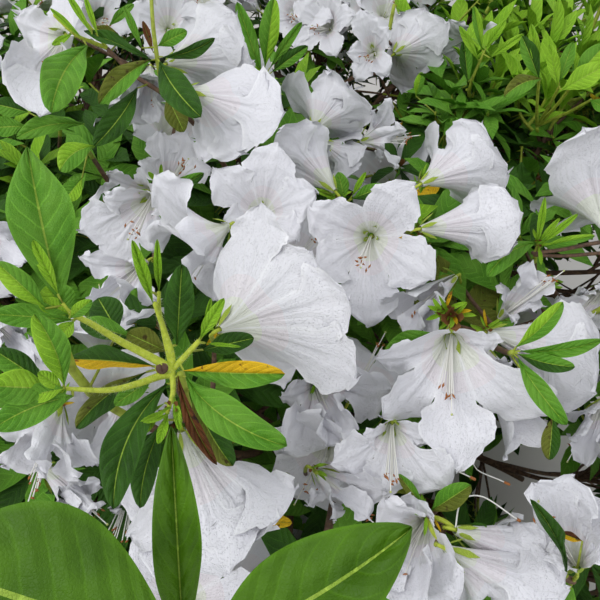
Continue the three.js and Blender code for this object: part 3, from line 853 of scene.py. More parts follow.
def plainFinish(name, one, other, scale, roughness):
    f, look = Finish(name), plainLook
    grain = f.grain(scale, 3)
    return f.surface(f.blend(grain, hue(one), hue(other)), roughness + look["dull"] * grain, grain, look["relief"],
                     look["strength"])


petalFinishes = [
    petalFinish("petal_white", "e6e6ec", "f0eff4"),
    petalFinish("petal_blush", "e9e2e7", "efebef"),
    petalFinish("petal_throat", "e5e8d9", "edeee6"),
]
leafFinishes = [
    # The deep tint is a darker leaf green that also serves as painted shade, dealt more often deeper in the crown.
    leafFinish("leaf_deep", "264a0c", "386316"),
    leafFinish("leaf_mid", "528c1e", "6a9e30"),
    leafFinish("leaf_olive", "5c6a1c", "71782a", 0.5, "4a3f18"),
    leafFinish("leaf_fresh", "7fb422", "98c634"),
    leafFinish("leaf_old", "d2a50c", "e0bb22", 0.5, "8a5a18"),
    leafFinish("leaf_spent", "4e2a15", "70441f", 0.6, "2c1a12"),
    leafFinish("leaf_rib", "8fb03a", "a2be4c", 0.5),
    # The broad tint is darkened as painted shade, for the big leaves that lie in shade right under the eye.
    leafFinish("leaf_broad", "3d6404", "4e790a", netShow=0.05, veinShow=0.2),
]
twigFinishes = [
    twigFinish("twig_old", "5a4030", "7d6049", 260),
    twigFinish("twig_young", "a8b83c", "8c9630", 200, 0.55),
    twigFinish("twig_hairy", "c9d648", "b2c33a", 500),
    plainFinish("hair_pale", "e6ecc8", "d8e0b0", 300, 0.5),
]
greenFinishes = [leafFinish("sepal_green", "a3bd3c", "b9cf52", 0.5), leafFinish("bud_scale", "7a4a26", "94683a", 0.6)]
stamenFinishes = [
    plainFinish("filament_white", "f4f3ea", "fbfaf4", 300, 0.4),
    plainFinish("anther_brown", "9a5a2c", "bd7a3e", 900, 0.6),
    plainFinish("stigma_green", "b9c46a", "cfd68a", 600, 0.3),
]
bark = barkFinish("bark")
print("finishes made")

# Flowers placed by the pixels of their parts: the foot and the middle of the mouth as (x, y, depth), what is their own
# in the form, then the tips of the five lobes, on the mouth's plane where they give no depth of their own.
placedFlowers = {
    "star": ((371, 236, 425), (366, 243, 382), {"rise": 30, "wide": 1.15},
        [(308, 208), (415, 184), (433, 280), (366, 338), (313, 271)]),
    "middle": ((219, 330, 318), (268, 308, 350), {"rise": 36, "wide": 1.0, "longest": 98, "fused": 0.64},
        [(260, 203), (314, 250), (354, 298), (362, 376), (286, 386)]),
    "middleUnder": ((258, 318, 400), (308, 345, 372), {"wide": 1.3},
        [(357, 371, 375), (348, 326, 385), (322, 374, 368), (283, 380, 385), (288, 318, 400)]),
    "starLeft": ((262, 217, 435), (258, 208, 395), {"rise": 28, "wide": 1.15},
        [(215, 168), (278, 143), (318, 192), (298, 240), (222, 224)]),
    "folded": ((228, 226, 400), (186, 258, 372), {"wide": 1.45},
        [(150, 177, 385), (156, 226, 348), (182, 292, 360), (216, 300, 380), (226, 262, 395)]),
    "leftOpen": ((154, 194, 440), (130, 217, 400), {"rise": 30},
        [(102, 198), (77, 233), (104, 264), (153, 254), (160, 208)]),
    "leftLow": ((146, 262, 400), (115, 285, 378), {},
        [(80, 256, 385), (84, 303, 365), (122, 318, 360), (155, 303, 372), (134, 262, 380)]),
    "leftBack": ((165, 190, 500), (172, 158, 464), {"rise": 30},
        [(140, 160), (160, 129), (188, 131), (213, 170), (178, 192)]),
    "leftShade": ((152, 190, 520), (122, 192, 495), {},
        [(106, 172, 500), (92, 205, 490), (125, 215, 485), (165, 206, 495), (142, 166, 505)]),
    "topBig": ((186, 90, 425), (222, 106, 452), {"rise": 40, "wide": 1.5, "longest": 84, "fused": 0.6},
        [(286, 113), (246, 156), (205, 160), (196, 120), (272, 83)]),
    "topFold": ((166, 64, 455), (200, 54, 480), {"rise": 40, "wide": 1.4, "longest": 80, "fused": 0.58},
        [(240, 14), (255, 62), (222, 88), (190, 84), (188, 18)]),
    "topLeft": ((66, 34, 460), (38, 60, 425), {"wide": 1.5, "longest": 80},
        [(36, 127, 425), (10, 92, 430), (14, 18, 450), (62, -12, 460), (66, 96, 435)]),
    "hanging": ((150, 68, 530), (147, 100, 505), {},
        [(128, 130, 495), (158, 131, 495), (172, 96, 510), (126, 90, 515), (150, 76, 480)]),
    "farMiddle": ((374, 54, 640), (370, 46, 600), {"rise": 28},
        [(347, 52), (361, 9), (389, 28), (386, 76), (355, 80)]),
    "farRight": ((394, 54, 636), (408, 46, 656), {"rise": 38, "wide": 1.3, "longest": 76, "fused": 0.56},
        [(402, 12), (425, 7), (449, 22), (444, 60), (404, 92)]),
    "fanTop": ((313, 130, 500), (326, 112, 512), {"rise": 42, "wide": 1.4, "longest": 76, "fused": 0.56},
        [(284, 90), (331, 68), (353, 86), (374, 112), (352, 142)]),
    "fanLow": ((318, 140, 508), (332, 153, 522), {"rise": 38, "wide": 1.3, "longest": 74, "fused": 0.56},
        [(366, 146), (360, 170), (336, 178), (310, 172), (350, 128)]),
    "upMiddle": ((335, 191, 442), (312, 166, 452), {"rise": 42, "wide": 1.2, "longest": 78, "fused": 0.56},
        [(278, 127), (302, 121), (327, 150), (298, 188), (273, 160)]),
    "fanRight": ((361, 141, 530), (389, 131, 512), {},
        [(391, 99, 515), (406, 130, 498), (397, 168, 505), (374, 108, 525), (382, 162, 525)]),
    "pairTop": ((421, 184, 425), (450, 168, 433), {"rise": 45, "wide": 1.5, "longest": 78, "fused": 0.6},
        [(427, 148), (460, 126), (484, 122), (512, 172), (478, 212)]),
    "pairLow": ((420, 229, 395), (450, 226, 403), {"rise": 52, "wide": 1.45, "longest": 76, "fused": 0.59},
        [(470, 195), (505, 190), (524, 213), (517, 243), (478, 257)]),
    "rightEdge": ((604, 228, 415), (594, 205, 422), {"rise": 48, "wide": 1.15, "longest": 80},
        [(535, 207), (583, 126), (612, 122), (640, 170), (572, 229)]),
    "rightSmall": ((500, 318, 440), (525, 292, 420), {},
        [(529, 262, 415), (556, 277, 418), (546, 306, 420), (515, 322, 425), (500, 284, 425)]),
    "rightWide": ((486, 332, 412), (515, 338, 419), {"rise": 50, "wide": 1.5, "longest": 80, "fused": 0.59},
        [(562, 318), (605, 345), (597, 394), (560, 386), (528, 356)]),
    "rightCorner": ((602, 290, 465), (580, 312, 445), {},
        [(556, 300, 445), (574, 336, 440), (606, 332, 445), (604, 284, 455), (580, 290, 450)]),
    "nodding": ((451, 331, 368), (456, 392, 330), {"wide": 0.9, "rise": 34, "longest": 88, "fused": 0.55},
        [(376, 358, 350), (380, 418, 352), (455, 472, 338), (554, 418, 348), (502, 342, 346)]),
    "noddingRight": ((482, 345, 400), (512, 412, 372), {"wide": 1.0, "longest": 80, "fused": 0.48},
        [(548, 448, 366), (506, 461, 362), (556, 394, 372), (470, 430, 378), (512, 365, 385)]),
    "noddingLeft": ((314, 380, 402), (334, 414, 365), {"wide": 1.25},
        [(393, 391, 372), (358, 430, 350), (326, 446, 352), (283, 452, 365), (281, 396, 385)]),
    "noddingSmall": ((392, 421, 362), (393, 455, 330), {"wide": 1.1, "rise": 30},
        [(331, 463), (361, 438, 345), (382, 496), (449, 491), (433, 440, 345)]),
    "lowMiddle": ((314, 470, 366), (345, 492, 345), {},
        [(388, 492, 345), (370, 520, 334), (335, 522, 336), (308, 506, 352), (352, 474, 362)]),
    "lowCentre": ((427, 519, 350), (406, 552, 315), {"wide": 1.35},
        [(372, 578, 300), (384, 500, 325), (412, 494, 332), (455, 602, 300), (415, 615, 288)]),
    "lowRight": ((455, 530, 325), (480, 538, 329), {"rise": 48, "wide": 1.4, "fused": 0.59},
        [(555, 546), (532, 576), (490, 578), (506, 528), (546, 528)]),
    "lowRightUnder": ((446, 549, 312), (470, 562, 316), {"rise": 52, "wide": 1.5, "longest": 78, "fused": 0.59},
        [(570, 590), (522, 618), (462, 622), (508, 550), (560, 566)]),
    "cornerLow": ((577, 569, 322), (570, 528, 300), {"wide": 1.2},
        [(532, 482, 300), (572, 474, 298), (606, 500, 300), (615, 545, 306), (545, 556, 310)]),
    "bottomBig": ((182, 430, 290), (200, 480, 301), {"rise": 52, "wide": 1.55, "longest": 86, "fused": 0.6},
        [(298, 492), (273, 534), (230, 573), (157, 575), (128, 537)]),
    "lowLeft": ((60, 404, 345), (42, 442, 325), {"wide": 1.15},
        [(4, 470, 320), (40, 474, 308), (78, 478, 314), (97, 466, 326), (-12, 430, 335)]),
    "lowLeftUp": ((130, 386, 365), (112, 425, 350), {},
        [(95, 466, 345), (124, 470, 345), (90, 402, 355), (132, 426, 345), (142, 408, 360)]),
    "lowLeftDown": ((45, 468, 352), (78, 496, 336), {},
        [(57, 512, 330), (98, 512, 325), (100, 484, 335), (60, 482, 345), (82, 522, 325)]),
    "lowLeftSmall": ((136, 470, 368), (126, 495, 350), {},
        [(114, 514, 345), (141, 514, 345), (142, 482, 350), (110, 482, 355), (128, 506, 335)]),
    "edgeLow": ((-12, 318, 400), (12, 342, 380), {},
        [(38, 356, 375), (22, 325, 378), (2, 362, 370), (-20, 352, 380), (2, 318, 390)]),
    "edgeUp": ((-22, 232, 430), (0, 248, 410), {},
        [(26, 262, 405), (16, 224, 410), (-4, 280, 400), (-24, 262, 410), (-6, 214, 420)]),
    "underStar": ((455, 277, 430), (420, 302, 408), {"wide": 1.1},
        [(378, 302, 402), (404, 341, 392), (432, 334, 398), (443, 302, 410), (402, 285, 420)]),
    "rightDeep": ((604, 400, 445), (586, 432, 425), {},
        [(571, 438, 420), (586, 466, 415), (606, 460, 420), (612, 420, 430), (566, 412, 430)]),
    "farBehind": ((474, 38, 668), (466, 52, 650), {"reach": 38, "turn": 20}, None),
    "farOne": ((96, 22, 690), (100, 12, 655), {"reach": 42, "turn": 10}, None),
    "farTwo": ((168, 30, 680), (170, 20, 645), {"reach": 42, "turn": 40}, None),
    "farThree": ((300, 20, 700), (296, 8, 665), {"reach": 44, "turn": 25}, None),
    "farFour": ((330, 30, 690), (322, 20, 660), {"reach": 40, "turn": 55}, None),
}

# Leaves placed the same way: foot, tip, width in pixels, the tint or the tints of their two halves, then how far they
# turn about their length, bow and sweep to a side, and how blunt they are, where that isn't the usual.
placedLeaves = [
    # the whorl with the yellow leaf
    ((184, 371, 283), (285, 374, 272), 27, "old mid", 20, 0.04),
    ((186, 377, 283), (287, 446, 262), 38, "mid", -10, 0.06, 0.10),
    ((178, 376, 284), (217, 465, 268), 13, "spent", 10, 0.08, 0.04),
    ((193, 392, 292), (233, 466, 288), 30, "deep olive", 0, 0.0, 0.05),
    ((167, 384, 284), (113, 509, 262), 38, "deep", 5, 0.08, 0.10),
    ((165, 420, 292), (140, 508, 286), 25, "deep", 0, 0.05, 0.06),
    ((146, 372, 288), (76, 428, 291), 24, "deep olive", -25, 0.06, 0.08),
    ((153, 378, 283), (114, 405, 276), 18, "mid", -10),
    ((152, 366, 286), (69, 359, 284), 28, "old deep", 30),
    ((177, 345, 282), (182, 264, 264), 29, "deep", 0, 0.04),
    ((166, 351, 291), (127, 333, 287), 26, "olive", 0, 0.0),
    ((134, 338, 302), (80, 322, 300), 22, "deep mid"),
    ((118, 332, 308), (98, 298, 312), 34, "deep"),
    ((153, 303, 273), (132, 240, 256), 12, "fresh"),
    ((152, 292, 274), (144, 260, 264), 6, "fresh", 0, 0.0),
    ((159, 292, 275), (157, 239, 258), 8, "fresh", 0, 0.03),
    ((200, 339, 280), (224, 298, 268), 13, "fresh"),
    ((205, 332, 280), (211, 298, 270), 6, "fresh", 0, 0.0),
    ((205, 343, 282), (241, 347, 279), 4, "fresh", 0, 0.0),
    ((203, 350, 293), (254, 338, 291), 22, "deep", 0, 0.04),
    ((159, 411, 278), (142, 435, 270), 9, "fresh", 0, 0.0),
    ((168, 414, 277), (158, 444, 268), 10, "fresh", 0, 0.0),
    ((174, 396, 279), (180, 431, 270), 8, "fresh", 0, 0.0),
    ((165, 403, 279), (143, 417, 275), 4, "fresh", 0, 0.0),
    # the two shoots at the left edge
    ((62, 304, 252), (27, 147, 246), 62, "mid", 12, 0.05, -0.02, 1.1),
    ((58, 294, 249), (33, 240, 240), 13, "fresh", 0, 0.0),
    ((66, 316, 255), (48, 284, 248), 36, "fresh mid"),
    ((46, 308, 246), (-4, 262, 236), 24, "fresh mid"),
    ((72, 320, 262), (-8, 314, 255), 24, "mid"),
    ((64, 385, 252), (34, 314, 238), 30, "fresh mid", 0, 0.05, 0.06),
    ((50, 389, 253), (-10, 386, 236), 36, "mid fresh"),
    ((73, 396, 255), (-6, 428, 240), 35, "mid", 0, 0.08, 0.05),
    ((45, 383, 257), (-6, 350, 251), 26, "mid deep", 0, 0.04),
    ((74, 321, 257), (58, 338, 252), 16, "fresh"),
    ((70, 318, 254), (92, 300, 250), 14, "fresh mid", 0, 0.08),
    ((68, 314, 254), (40, 300, 246), 17, "mid fresh", 10),
    ((62, 389, 253), (38, 372, 246), 15, "fresh"),
    ((66, 389, 254), (50, 408, 250), 15, "mid fresh"),
    ((64, 388, 252), (24, 397, 246), 20, "fresh mid"),
    # the big leaves under the eye, in a green darkened as painted shade
    ((186, 655, 150), (-85, 562, 146), 178, "broad", 0, 0.06),
    ((184, 655, 180), (171, 426, 168), 47, "broad", 0, 0.03, 0.0, 0.9),
    ((192, 655, 166), (412, 527, 160), 104, "broad", 0, 0.05, 0.04, 0.85),
    # the brown twig's whorl at the top left
    ((163, 57, 440), (215, 38, 430), 13, "deep", 30, 0.06, 0.05),
    ((158, 46, 445), (187, 31, 440), 15, "mid"),
    ((160, 62, 438), (201, 117, 415), 31, "deep", 0, 0.05, 0.05),
    ((151, 60, 438), (99, 104, 420), 22, "mid olive", 0, 0.05, 0.05),
    ((151, 60, 442), (84, 31, 435), 14, "deep", 20, 0.06),
    ((153, 52, 445), (143, 21, 450), 7, "spent", 0, 0.0),
    ((142, 48, 444), (124, 6, 440), 8, "mid", 0, 0.0),
    ((109, 26, 450), (134, 4, 445), 9, "mid", 0, 0.1),
    ((167, 96, 456), (184, 132, 450), 22, "olive"),
    ((122, 38, 446), (95, 28, 440), 12, "old olive", 0, 0.0),
    ((137, 88, 440), (94, 146, 425), 24, "deep", 0, 0.06, -0.05),
    ((94, 146, 430), (60, 171, 425), 24, "mid fresh", 0, 0.12, 0.12),
    ((82, 178, 442), (64, 201, 440), 19, "fresh mid"),
    ((87, 46, 429), (51, 113, 390), 38, "mid", 0, 0.05, 0.06),
    ((82, 38, 430), (50, 8, 420), 6, "fresh", 0, 0.0),
    ((92, 34, 430), (66, -8, 420), 7, "fresh", 0, 0.0),
    ((98, 36, 432), (84, -6, 422), 6, "fresh", 0, 0.0),
    ((72, 34, 428), (52, 45, 424), 7, "fresh", 0, 0.0),
    ((84, 124, 470), (16, 138, 460), 19, "mid", 0, 0.05, 0.08),
    ((28, 112, 470), (-6, 104, 465), 20, "mid deep"),
    ((26, 126, 466), (-10, 128, 460), 20, "mid"),
    # the small whorls among the flowers
    ((165, 184, 462), (204, 173, 450), 13, "mid deep", 15, 0.06, 0.08),
    ((164, 190, 462), (175, 206, 455), 14, "mid"),
    ((161, 182, 462), (161, 164, 450), 4, "fresh", 0, 0.0),
    ((158, 182, 462), (148, 172, 455), 5, "fresh", 0, 0.0),
    ((146, 189, 462), (133, 198, 455), 8, "fresh", 0, 0.0),
    ((345, 200, 452), (338, 172, 442), 15, "mid"),
    ((352, 199, 452), (385, 186, 445), 15, "mid deep"),
    ((342, 198, 452), (322, 177, 440), 5, "fresh", 0, 0.0),
    ((342, 201, 452), (312, 188, 442), 6, "fresh", 0, 0.0),
    ((352, 196, 452), (366, 172, 442), 6, "fresh", 0, 0.0),
    ((537, 243, 420), (487, 277, 405), 22, "mid", 0, 0.06, 0.10),
    ((537, 245, 420), (545, 197, 410), 7, "fresh"),
    ((540, 245, 420), (578, 214, 412), 7, "fresh"),
    ((538, 243, 420), (560, 218, 412), 6, "fresh", 0, 0.0),
    ((540, 247, 420), (595, 236, 415), 9, "fresh mid"),
    ((516, 347, 332), (563, 302, 322), 18, "fresh mid", 0, 0.05, 0.05),
    ((520, 351, 332), (602, 340, 322), 15, "mid", 15, 0.05, 0.05),
    ((518, 354, 332), (575, 367, 322), 17, "mid deep", 0, 0.05, 0.05),
    ((518, 358, 332), (567, 425, 315), 21, "mid", 0, 0.06, 0.04),
    ((553, 416, 350), (549, 460, 348), 18, "deep olive"),
    ((441, 336, 384), (383, 357, 378), 22, "mid", 0, 0.06, 0.08),
    ((316, 377, 396), (352, 382, 390), 12, "deep mid"),
    ((431, 511, 336), (471, 485, 322), 23, "mid olive", 0, 0.06),
    ((424, 507, 336), (398, 474, 340), 11, "olive mid"),
    ((446, 487, 345), (450, 461, 340), 12, "deep"),
    ((459, 531, 335), (487, 526, 330), 10, "deep mid"),
    ((566, 572, 304), (530, 499, 284), 13, "deep", 15, 0.05, 0.04),
    ((582, 541, 299), (561, 533, 299), 9, "old spent", 0, 0.0),
    ((606, 204, 430), (583, 191, 425), 9, "deep"),
    ((262, 76, 560), (237, 2, 535), 15, "mid"),
    ((265, 66, 560), (274, -2, 530), 20, "mid fresh"),
    ((270, 68, 560), (302, 22, 540), 10, "mid"),
    ((272, 72, 560), (308, 46, 545), 13, "deep mid"),
    ((272, 80, 560), (310, 96, 550), 20, "deep"),
    ((252, 66, 558), (241, 38, 545), 8, "mid"),
    ((248, 519, 334), (292, 523, 326), 15, "old", 0, 0.04),
    ((246, 494, 345), (290, 474, 338), 15, "olive fresh"),
    ((262, 430, 352), (232, 444, 348), 12, "deep olive"),
    # the leafy shoots at the top right
    ((539, 79, 500), (522, 36, 485), 16, "mid deep"),
    ((538, 72, 500), (531, 24, 480), 10, "fresh"),
    ((541, 79, 500), (504, 97, 492), 19, "mid olive", 0, 0.06, 0.08),
    ((558, 87, 495), (549, 44, 480), 12, "fresh"),
    ((559, 82, 495), (573, 42, 482), 13, "mid"),
    ((562, 90, 495), (604, 66, 482), 23, "fresh"),
    ((575, 78, 495), (606, 44, 480), 21, "mid fresh"),
    ((590, 100, 498), (612, 112, 490), 13, "mid"),
    ((482, 50, 560), (474, 6, 545), 9, "mid fresh"),
    ((486, 48, 560), (506, 20, 545), 9, "fresh"),
    ((490, 58, 560), (524, 34, 545), 8, "fresh"),
    ((468, 82, 570), (464, 40, 555), 12, "deep mid"),
    ((478, 60, 560), (459, 26, 545), 8, "fresh"),
    ((416, 96, 600), (422, 72, 590), 10, "fresh mid"),
]

# Shoots and twigs through pixels, with their first and last radius and their look.
placedTwigs = [
    (((240, 196, 545), (224, 165, 500), (195, 125, 472), (163, 94, 458), (134, 75, 455), (107, 48, 450)),
     (2.4, 1.5), "old"),
    (((163, 94, 458), (160, 75, 450), (157, 57, 442), (153, 25, 433), (150, -30, 425)), (1.9, 1.2), "young"),
    (((107, 48, 450), (92, 42, 442), (76, 35, 434), (54, 15, 425)), (1.6, 1.1), "hairy"),
    (((107, 48, 450), (98, 36, 440), (84, 20, 430), (62, -12, 420)), (1.3, 0.9), "hairy"),
    (((172, 372, 287), (166, 366, 285), (120, 341, 274), (90, 323, 262), (69, 312, 255), (62, 303, 252)),
     (2.3, 1.0), "hairy"),
    (((172, 374, 287), (160, 376, 284), (140, 383, 276), (110, 390, 265), (72, 389, 256), (56, 388, 254)),
     (2.0, 0.8), "hairy"),
    (((172, 370, 287), (172, 356, 284), (164, 330, 279), (155, 303, 273)), (1.6, 1.2), "hairy"),
    (((172, 370, 287), (163, 330, 281), (159, 306, 277), (159, 292, 275)), (1.3, 0.9), "hairy"),
    (((172, 370, 287), (186, 355, 284), (199, 341, 281)), (1.6, 1.2), "hairy"),
    (((172, 370, 287), (173, 392, 282), (167, 413, 278)), (1.6, 1.1), "hairy"),
    (((630, 238, 470), (590, 244, 440), (560, 250, 428), (532, 253, 424)), (1.7, 1.3), "old"),
    (((630, 250, 470), (590, 254, 442), (560, 256, 432), (534, 255, 428)), (1.6, 1.2), "old"),
    (((428, 516, 336), (444, 521, 333), (455, 529, 330)), (1.6, 1.3), "hairy"),
    (((428, 516, 336), (432, 530, 331), (445, 547, 321)), (1.5, 1.2), "hairy"),
    (((537, 126, 575), (537, 105, 530), (539, 80, 502)), (1.7, 1.2), "young"),
    (((537, 126, 575), (548, 108, 535), (559, 87, 497)), (1.7, 1.2), "young"),
    (((537, 126, 575), (556, 106, 535), (576, 80, 497)), (1.7, 1.2), "young"),
    (((537, 126, 575), (565, 114, 540), (591, 100, 500)), (1.7, 1.2), "young"),
    (((468, 98, 600), (472, 80, 580), (484, 52, 562)), (1.8, 1.2), "young"),
]

# Long styles that hang out of three flowers, with a darker tip.
placedStyles = [((482, 345, 400), (484, 440, 380), (474, 466, 372), (504, 482, 368)),
                ((451, 331, 368), (448, 420, 352), (452, 466, 342), (470, 477, 342)),
                ((455, 530, 325), (462, 500, 334), (480, 496, 336), (517, 519, 334))]

# A corky scar where a flower stalk came off, as (x, y, depth) and its size.
placedScars = [((162, 368, 284), 2.6)]

# Ends of the upright shoots on the far leafy side, and the plainer whorls low between them.
placedShoots = {
    "fresh": [(467, 66, 625), (483, 46, 655), (501, 32, 690), (516, 54, 645), (497, 80, 605), (531, 42, 665),
              (549, 54, 640), (561, 30, 685), (577, 57, 635), (591, 40, 665), (521, 92, 585), (546, 98, 575),
              (573, 94, 578), (594, 88, 580), (606, 64, 625), (506, 8, 740), (536, 6, 740), (566, 8, 730),
              (590, 12, 715), (480, 10, 735), (612, 20, 700)],
    "mid": [(452, 94, 600), (470, 106, 585), (461, 120, 572), (488, 114, 575), (474, 90, 605), (436, 112, 585),
            (484, 72, 640), (446, 130, 565)],
}

# Tufts of narrow bracts and bud scales where the flower stalks meet, as (x, y, depth) and how many.
placedTufts = [((453, 317, 352), 16), ((446, 312, 352), 8), ((421, 183, 436), 7), ((420, 229, 404), 8),
               ((340, 199, 450), 7), ((537, 244, 420), 6), ((164, 186, 458), 6), ((429, 516, 334), 6),
               ((316, 376, 394), 6), ((314, 468, 362), 6), ((219, 332, 350), 5), ((60, 404, 343), 5),
               ((130, 387, 362), 5), ((486, 330, 408), 6), ((262, 72, 556), 6), ((171, 408, 277), 5)]

# Places that carry leaves alone and are tied to the shrub by a twig of their own.
placedHubs = [(172, 376, 292), (186, 662, 182), (348, 202, 455), (537, 250, 424), (512, 352, 334), (453, 318, 362),
              (428, 518, 338), (262, 80, 565), (537, 128, 578), (468, 100, 602), (162, 186, 464), (88, 150, 440),
              (60, 128, 474), (566, 575, 320), (240, 198, 547), (634, 246, 475), (452, 490, 350), (314, 376, 398)]

# Ground shows through these circles (x, y, radius), and nothing blooms by rule in these boxes (x0, y0, x1, y1).
openPlaces = [(520, 490, 30), (560, 500, 30), (490, 470, 18), (590, 262, 22), (555, 470, 20), (420, 462, 14)]
leafyPlaces = [(-60, 95, 130, 262), (432, -60, 660, 232)]


# Every small shape goes into the heap of its kind and of the part of the crown it grows in.
kinds = ("twigs", "leaves", "petals", "stamens", "greens")
for mass in masses:
    rank = mass["name"].split("_")[0]
    mass["region"] = rank if rank == "top" else rank + ("_front" if mass["middle"][1] < 0 else "_back")
heaps = {mass["region"]: {kind: Heap() for kind in kinds} for mass in masses}


def heapsAt(point):
    return heaps[nearestMass(point)["region"]]


woodLooks = {"old": 0, "young": 1, "hairy": 2, "hair": 3}
twoLooks = ("old", "young")


# A twig with its inner look up to one of its steps and its outer look from there on.
def addTwig(point, line, radii, sides, outerFrom, looks=twoLooks):
    steps = len(line)
    looks = np.where(np.arange(steps - 1) < outerFrom, *(woodLooks[look] for look in looks))
    addTubes(heapsAt(point)["twigs"], line, np.linspace(*radii, steps), sides, looks)


# The limbs inside the masses, and all the points of them that a finer twig may leave from.
growth = []
for mass in masses:
    addTwig(mass["middle"], mass["stem"], twig["stemRadii"], 8, twig["stemSteps"])
    growth.append(mass["stem"][2:])
    for tip in mass["tips"]:
        addTwig(mass["middle"], tip["route"], tip["radii"], 6, twig["youngFrom"])
        growth.append(tip["route"][2:])
growth = np.concatenate(growth)


# Joins a foot to the nearest limb that isn't in front of it.
tie = {"steps": 12, "youngFrom": 8, "backOff": 0.62, "frontCost": 2.5, "turnCost": 1.4, "wander": 0.05, "least": 8}


def tieIn(foot, back, radii, rng, looks=twoLooks, sides=6):
    global growth
    back = unit(back)
    offset = growth - foot
    gap = np.linalg.norm(offset, axis=1)
    ahead = np.maximum(0, toPixels(foot)[2] - toPixels(growth)[2])
    straight = (offset @ back) / np.maximum(gap, 1)
    join = growth[int(np.argmin(gap * (tie["turnCost"] - straight) + tie["frontCost"] * ahead))]
    long = np.linalg.norm(join - foot)
    bend = foot + back * long * tie["backOff"] + rng.normal(0, tie["wander"] * long, 3)
    line = evenly(bezier(join, bend, foot, 30), tie["steps"])
    addTwig(foot, line, radii, sides, tie["youngFrom"], looks)
    if long > tie["least"]:
        growth = np.concatenate([growth, line[2:-1]])


# A scaly winter bud, or what its brown scales leave at the foot of a cluster.
bud = {"length": 9, "width": 4.2, "scales": 5, "open": (14, 50), "guide": [0.4, 0.7, 0.59], "out": 1.2,
       "uneven": (0.7, 1.2)}


def growBud(point, axis, rng, size):
    turns = 2 * math.pi * np.arange(bud["scales"]) / bud["scales"] + rng.uniform(0, 6)
    spokes, along = fan(axis, turns, np.radians(rng.uniform(*bud["open"], bud["scales"])), bud["guide"])
    long = bud["length"] * size * rng.uniform(*bud["uneven"], bud["scales"])
    addLeaves(heapsAt(point)["greens"], sepalTemplate, point + spokes * bud["out"], along, axis - spokes, long,
              long * bud["width"] / bud["length"], np.full(bud["scales"], 1))


pedicel = {"length": 15, "radii": (0.95, 1.1875), "steps": 7, "sides": 5, "back": 0.55, "under": 0.45, "inside": 1.5}


# A flower with its stalk, cup and stamens. Answers with the end of the stalk.
def growFlower(foot, axis, lobeTips, rng, across, along, wide, back, longest=flower["longest"],
               fused=flower["fused"], cup=1.0, count=stamens["fewer"]):
    here = heapsAt(foot)
    corolla(here["petals"], foot, axis, lobeTips, rng, across, along, wide, longest, fused)
    addStamens(here["stamens"], foot + axis * stamens["up"], axis, rng, rng.uniform(*stamens["sizes"]), count)
    addCalyx(here["greens"], foot, axis, rng, cup)
    end = foot + (unit(back) * pedicel["back"] - axis * pedicel["under"]) * pedicel["length"]
    bend, top = foot - axis * pedicel["length"] / 2, foot + axis * pedicel["inside"]
    line = evenly(bezier(end, bend, top, 20), pedicel["steps"])
    radii = np.linspace(*pedicel["radii"], pedicel["steps"])
    addTubes(here["twigs"], line, radii, pedicel["sides"], woodLooks["hairy"])
    return end


# The lobes' tips of a plain flower, each somewhat off from an even star.
star = {"lobes": 5, "wander": 0.07, "uneven": 0.1, "unevenHigh": 1.5}


def starLobes(foot, axis, reach, high, turn, rng, uneven=star["uneven"]):
    lobes, more = star["lobes"], uneven * star["unevenHigh"]
    turns = turn + 2 * math.pi * np.arange(lobes) / lobes + rng.normal(0, star["wander"], lobes)
    reaches = reach * rng.uniform(1 - uneven, 1 + uneven, lobes)
    highs = high * rng.uniform(1 - more, 1 + more, lobes)
    return foot + axis * highs[:, None] + spokesAt(axis, turns) * reaches[:, None]


placed = {"grid": (16, 22), "sink": 0.25, "cup": 1.35, "stalk": (1.9, 1.2), "hub": (2.3, 1.5)}
flowerForm = {"rise": 32, "wide": 1.0, "longest": flower["longest"], "fused": flower["fused"]}
rng = np.random.default_rng(2024)


# From the eye past a place, and somewhat down.
def awayAt(place):
    return unit(unit(place - eyeAt) - upward * placed["sink"])


for foot, mouth, form, lobes in placedFlowers.values():
    form = {**flowerForm, **form}
    foot = atPixel(*foot)
    axis = unit(atPixel(*mouth) - foot)
    if lobes:
        level = (foot + axis * form["rise"] - eyeAt) @ axis
        lobes = np.array([atPixel(*p) if len(p) == 3 else eyeAt + ray(*p) * level / (ray(*p) @ axis) for p in lobes])
    else:
        lobes = starLobes(foot, axis, form["reach"], form["rise"], math.radians(form["turn"]), rng)
    away = awayAt(foot)
    end = growFlower(foot, axis, lobes, rng, *placed["grid"], form["wide"], away, form["longest"], form["fused"],
                     placed["cup"], stamens["count"])
    tieIn(end, away, placed["stalk"], rng)
print("placed flowers grown:", len(placedFlowers))

placedLeafForm = {"stations": 30, "fold": 0.32, "twist": 0.25, "relief": 0.012, "wave": 0.25, "towardEye": 0.8,
                  "usual": (0, 0.05, 0.0)}
for foot, tip, pixelsWide, tints, *form in placedLeaves:
    turn, bow, sweep, *point = (*form, *placedLeafForm["usual"][len(form):])
    a, b = atPixel(*foot), atPixel(*tip)
    length = np.linalg.norm(b - a)
    along = (b - a) / length
    width = pixelsWide * (foot[2] + tip[2]) / 2 / focus
    toEye = unit(eyeAt - (a + b) / 2)
    faceUp = unit(toEye * placedLeafForm["towardEye"] + upward * (1 - placedLeafForm["towardEye"]))
    turn = math.radians(turn)
    faceUp = faceUp * math.cos(turn) + np.cross(along, faceUp) * math.sin(turn)
    template = leafTemplate(placedLeafForm["stations"], fineColumns, placedLeafForm["fold"], 0.0,
                            rng.uniform(-placedLeafForm["twist"], placedLeafForm["twist"]),
                            sweep * length * leafForm["slim"] / width, placedLeafForm["relief"],
                            placedLeafForm["wave"], bow, *point)
    shades = [leafTints.index(tint) for tint in (tints.split() * 2)[:2]]
    heapsAt(a)["twigs"].feet.append([a])
    addLeaves(heapsAt(a)["leaves"], template, [a], [along], [faceUp], [length], [width], shades)

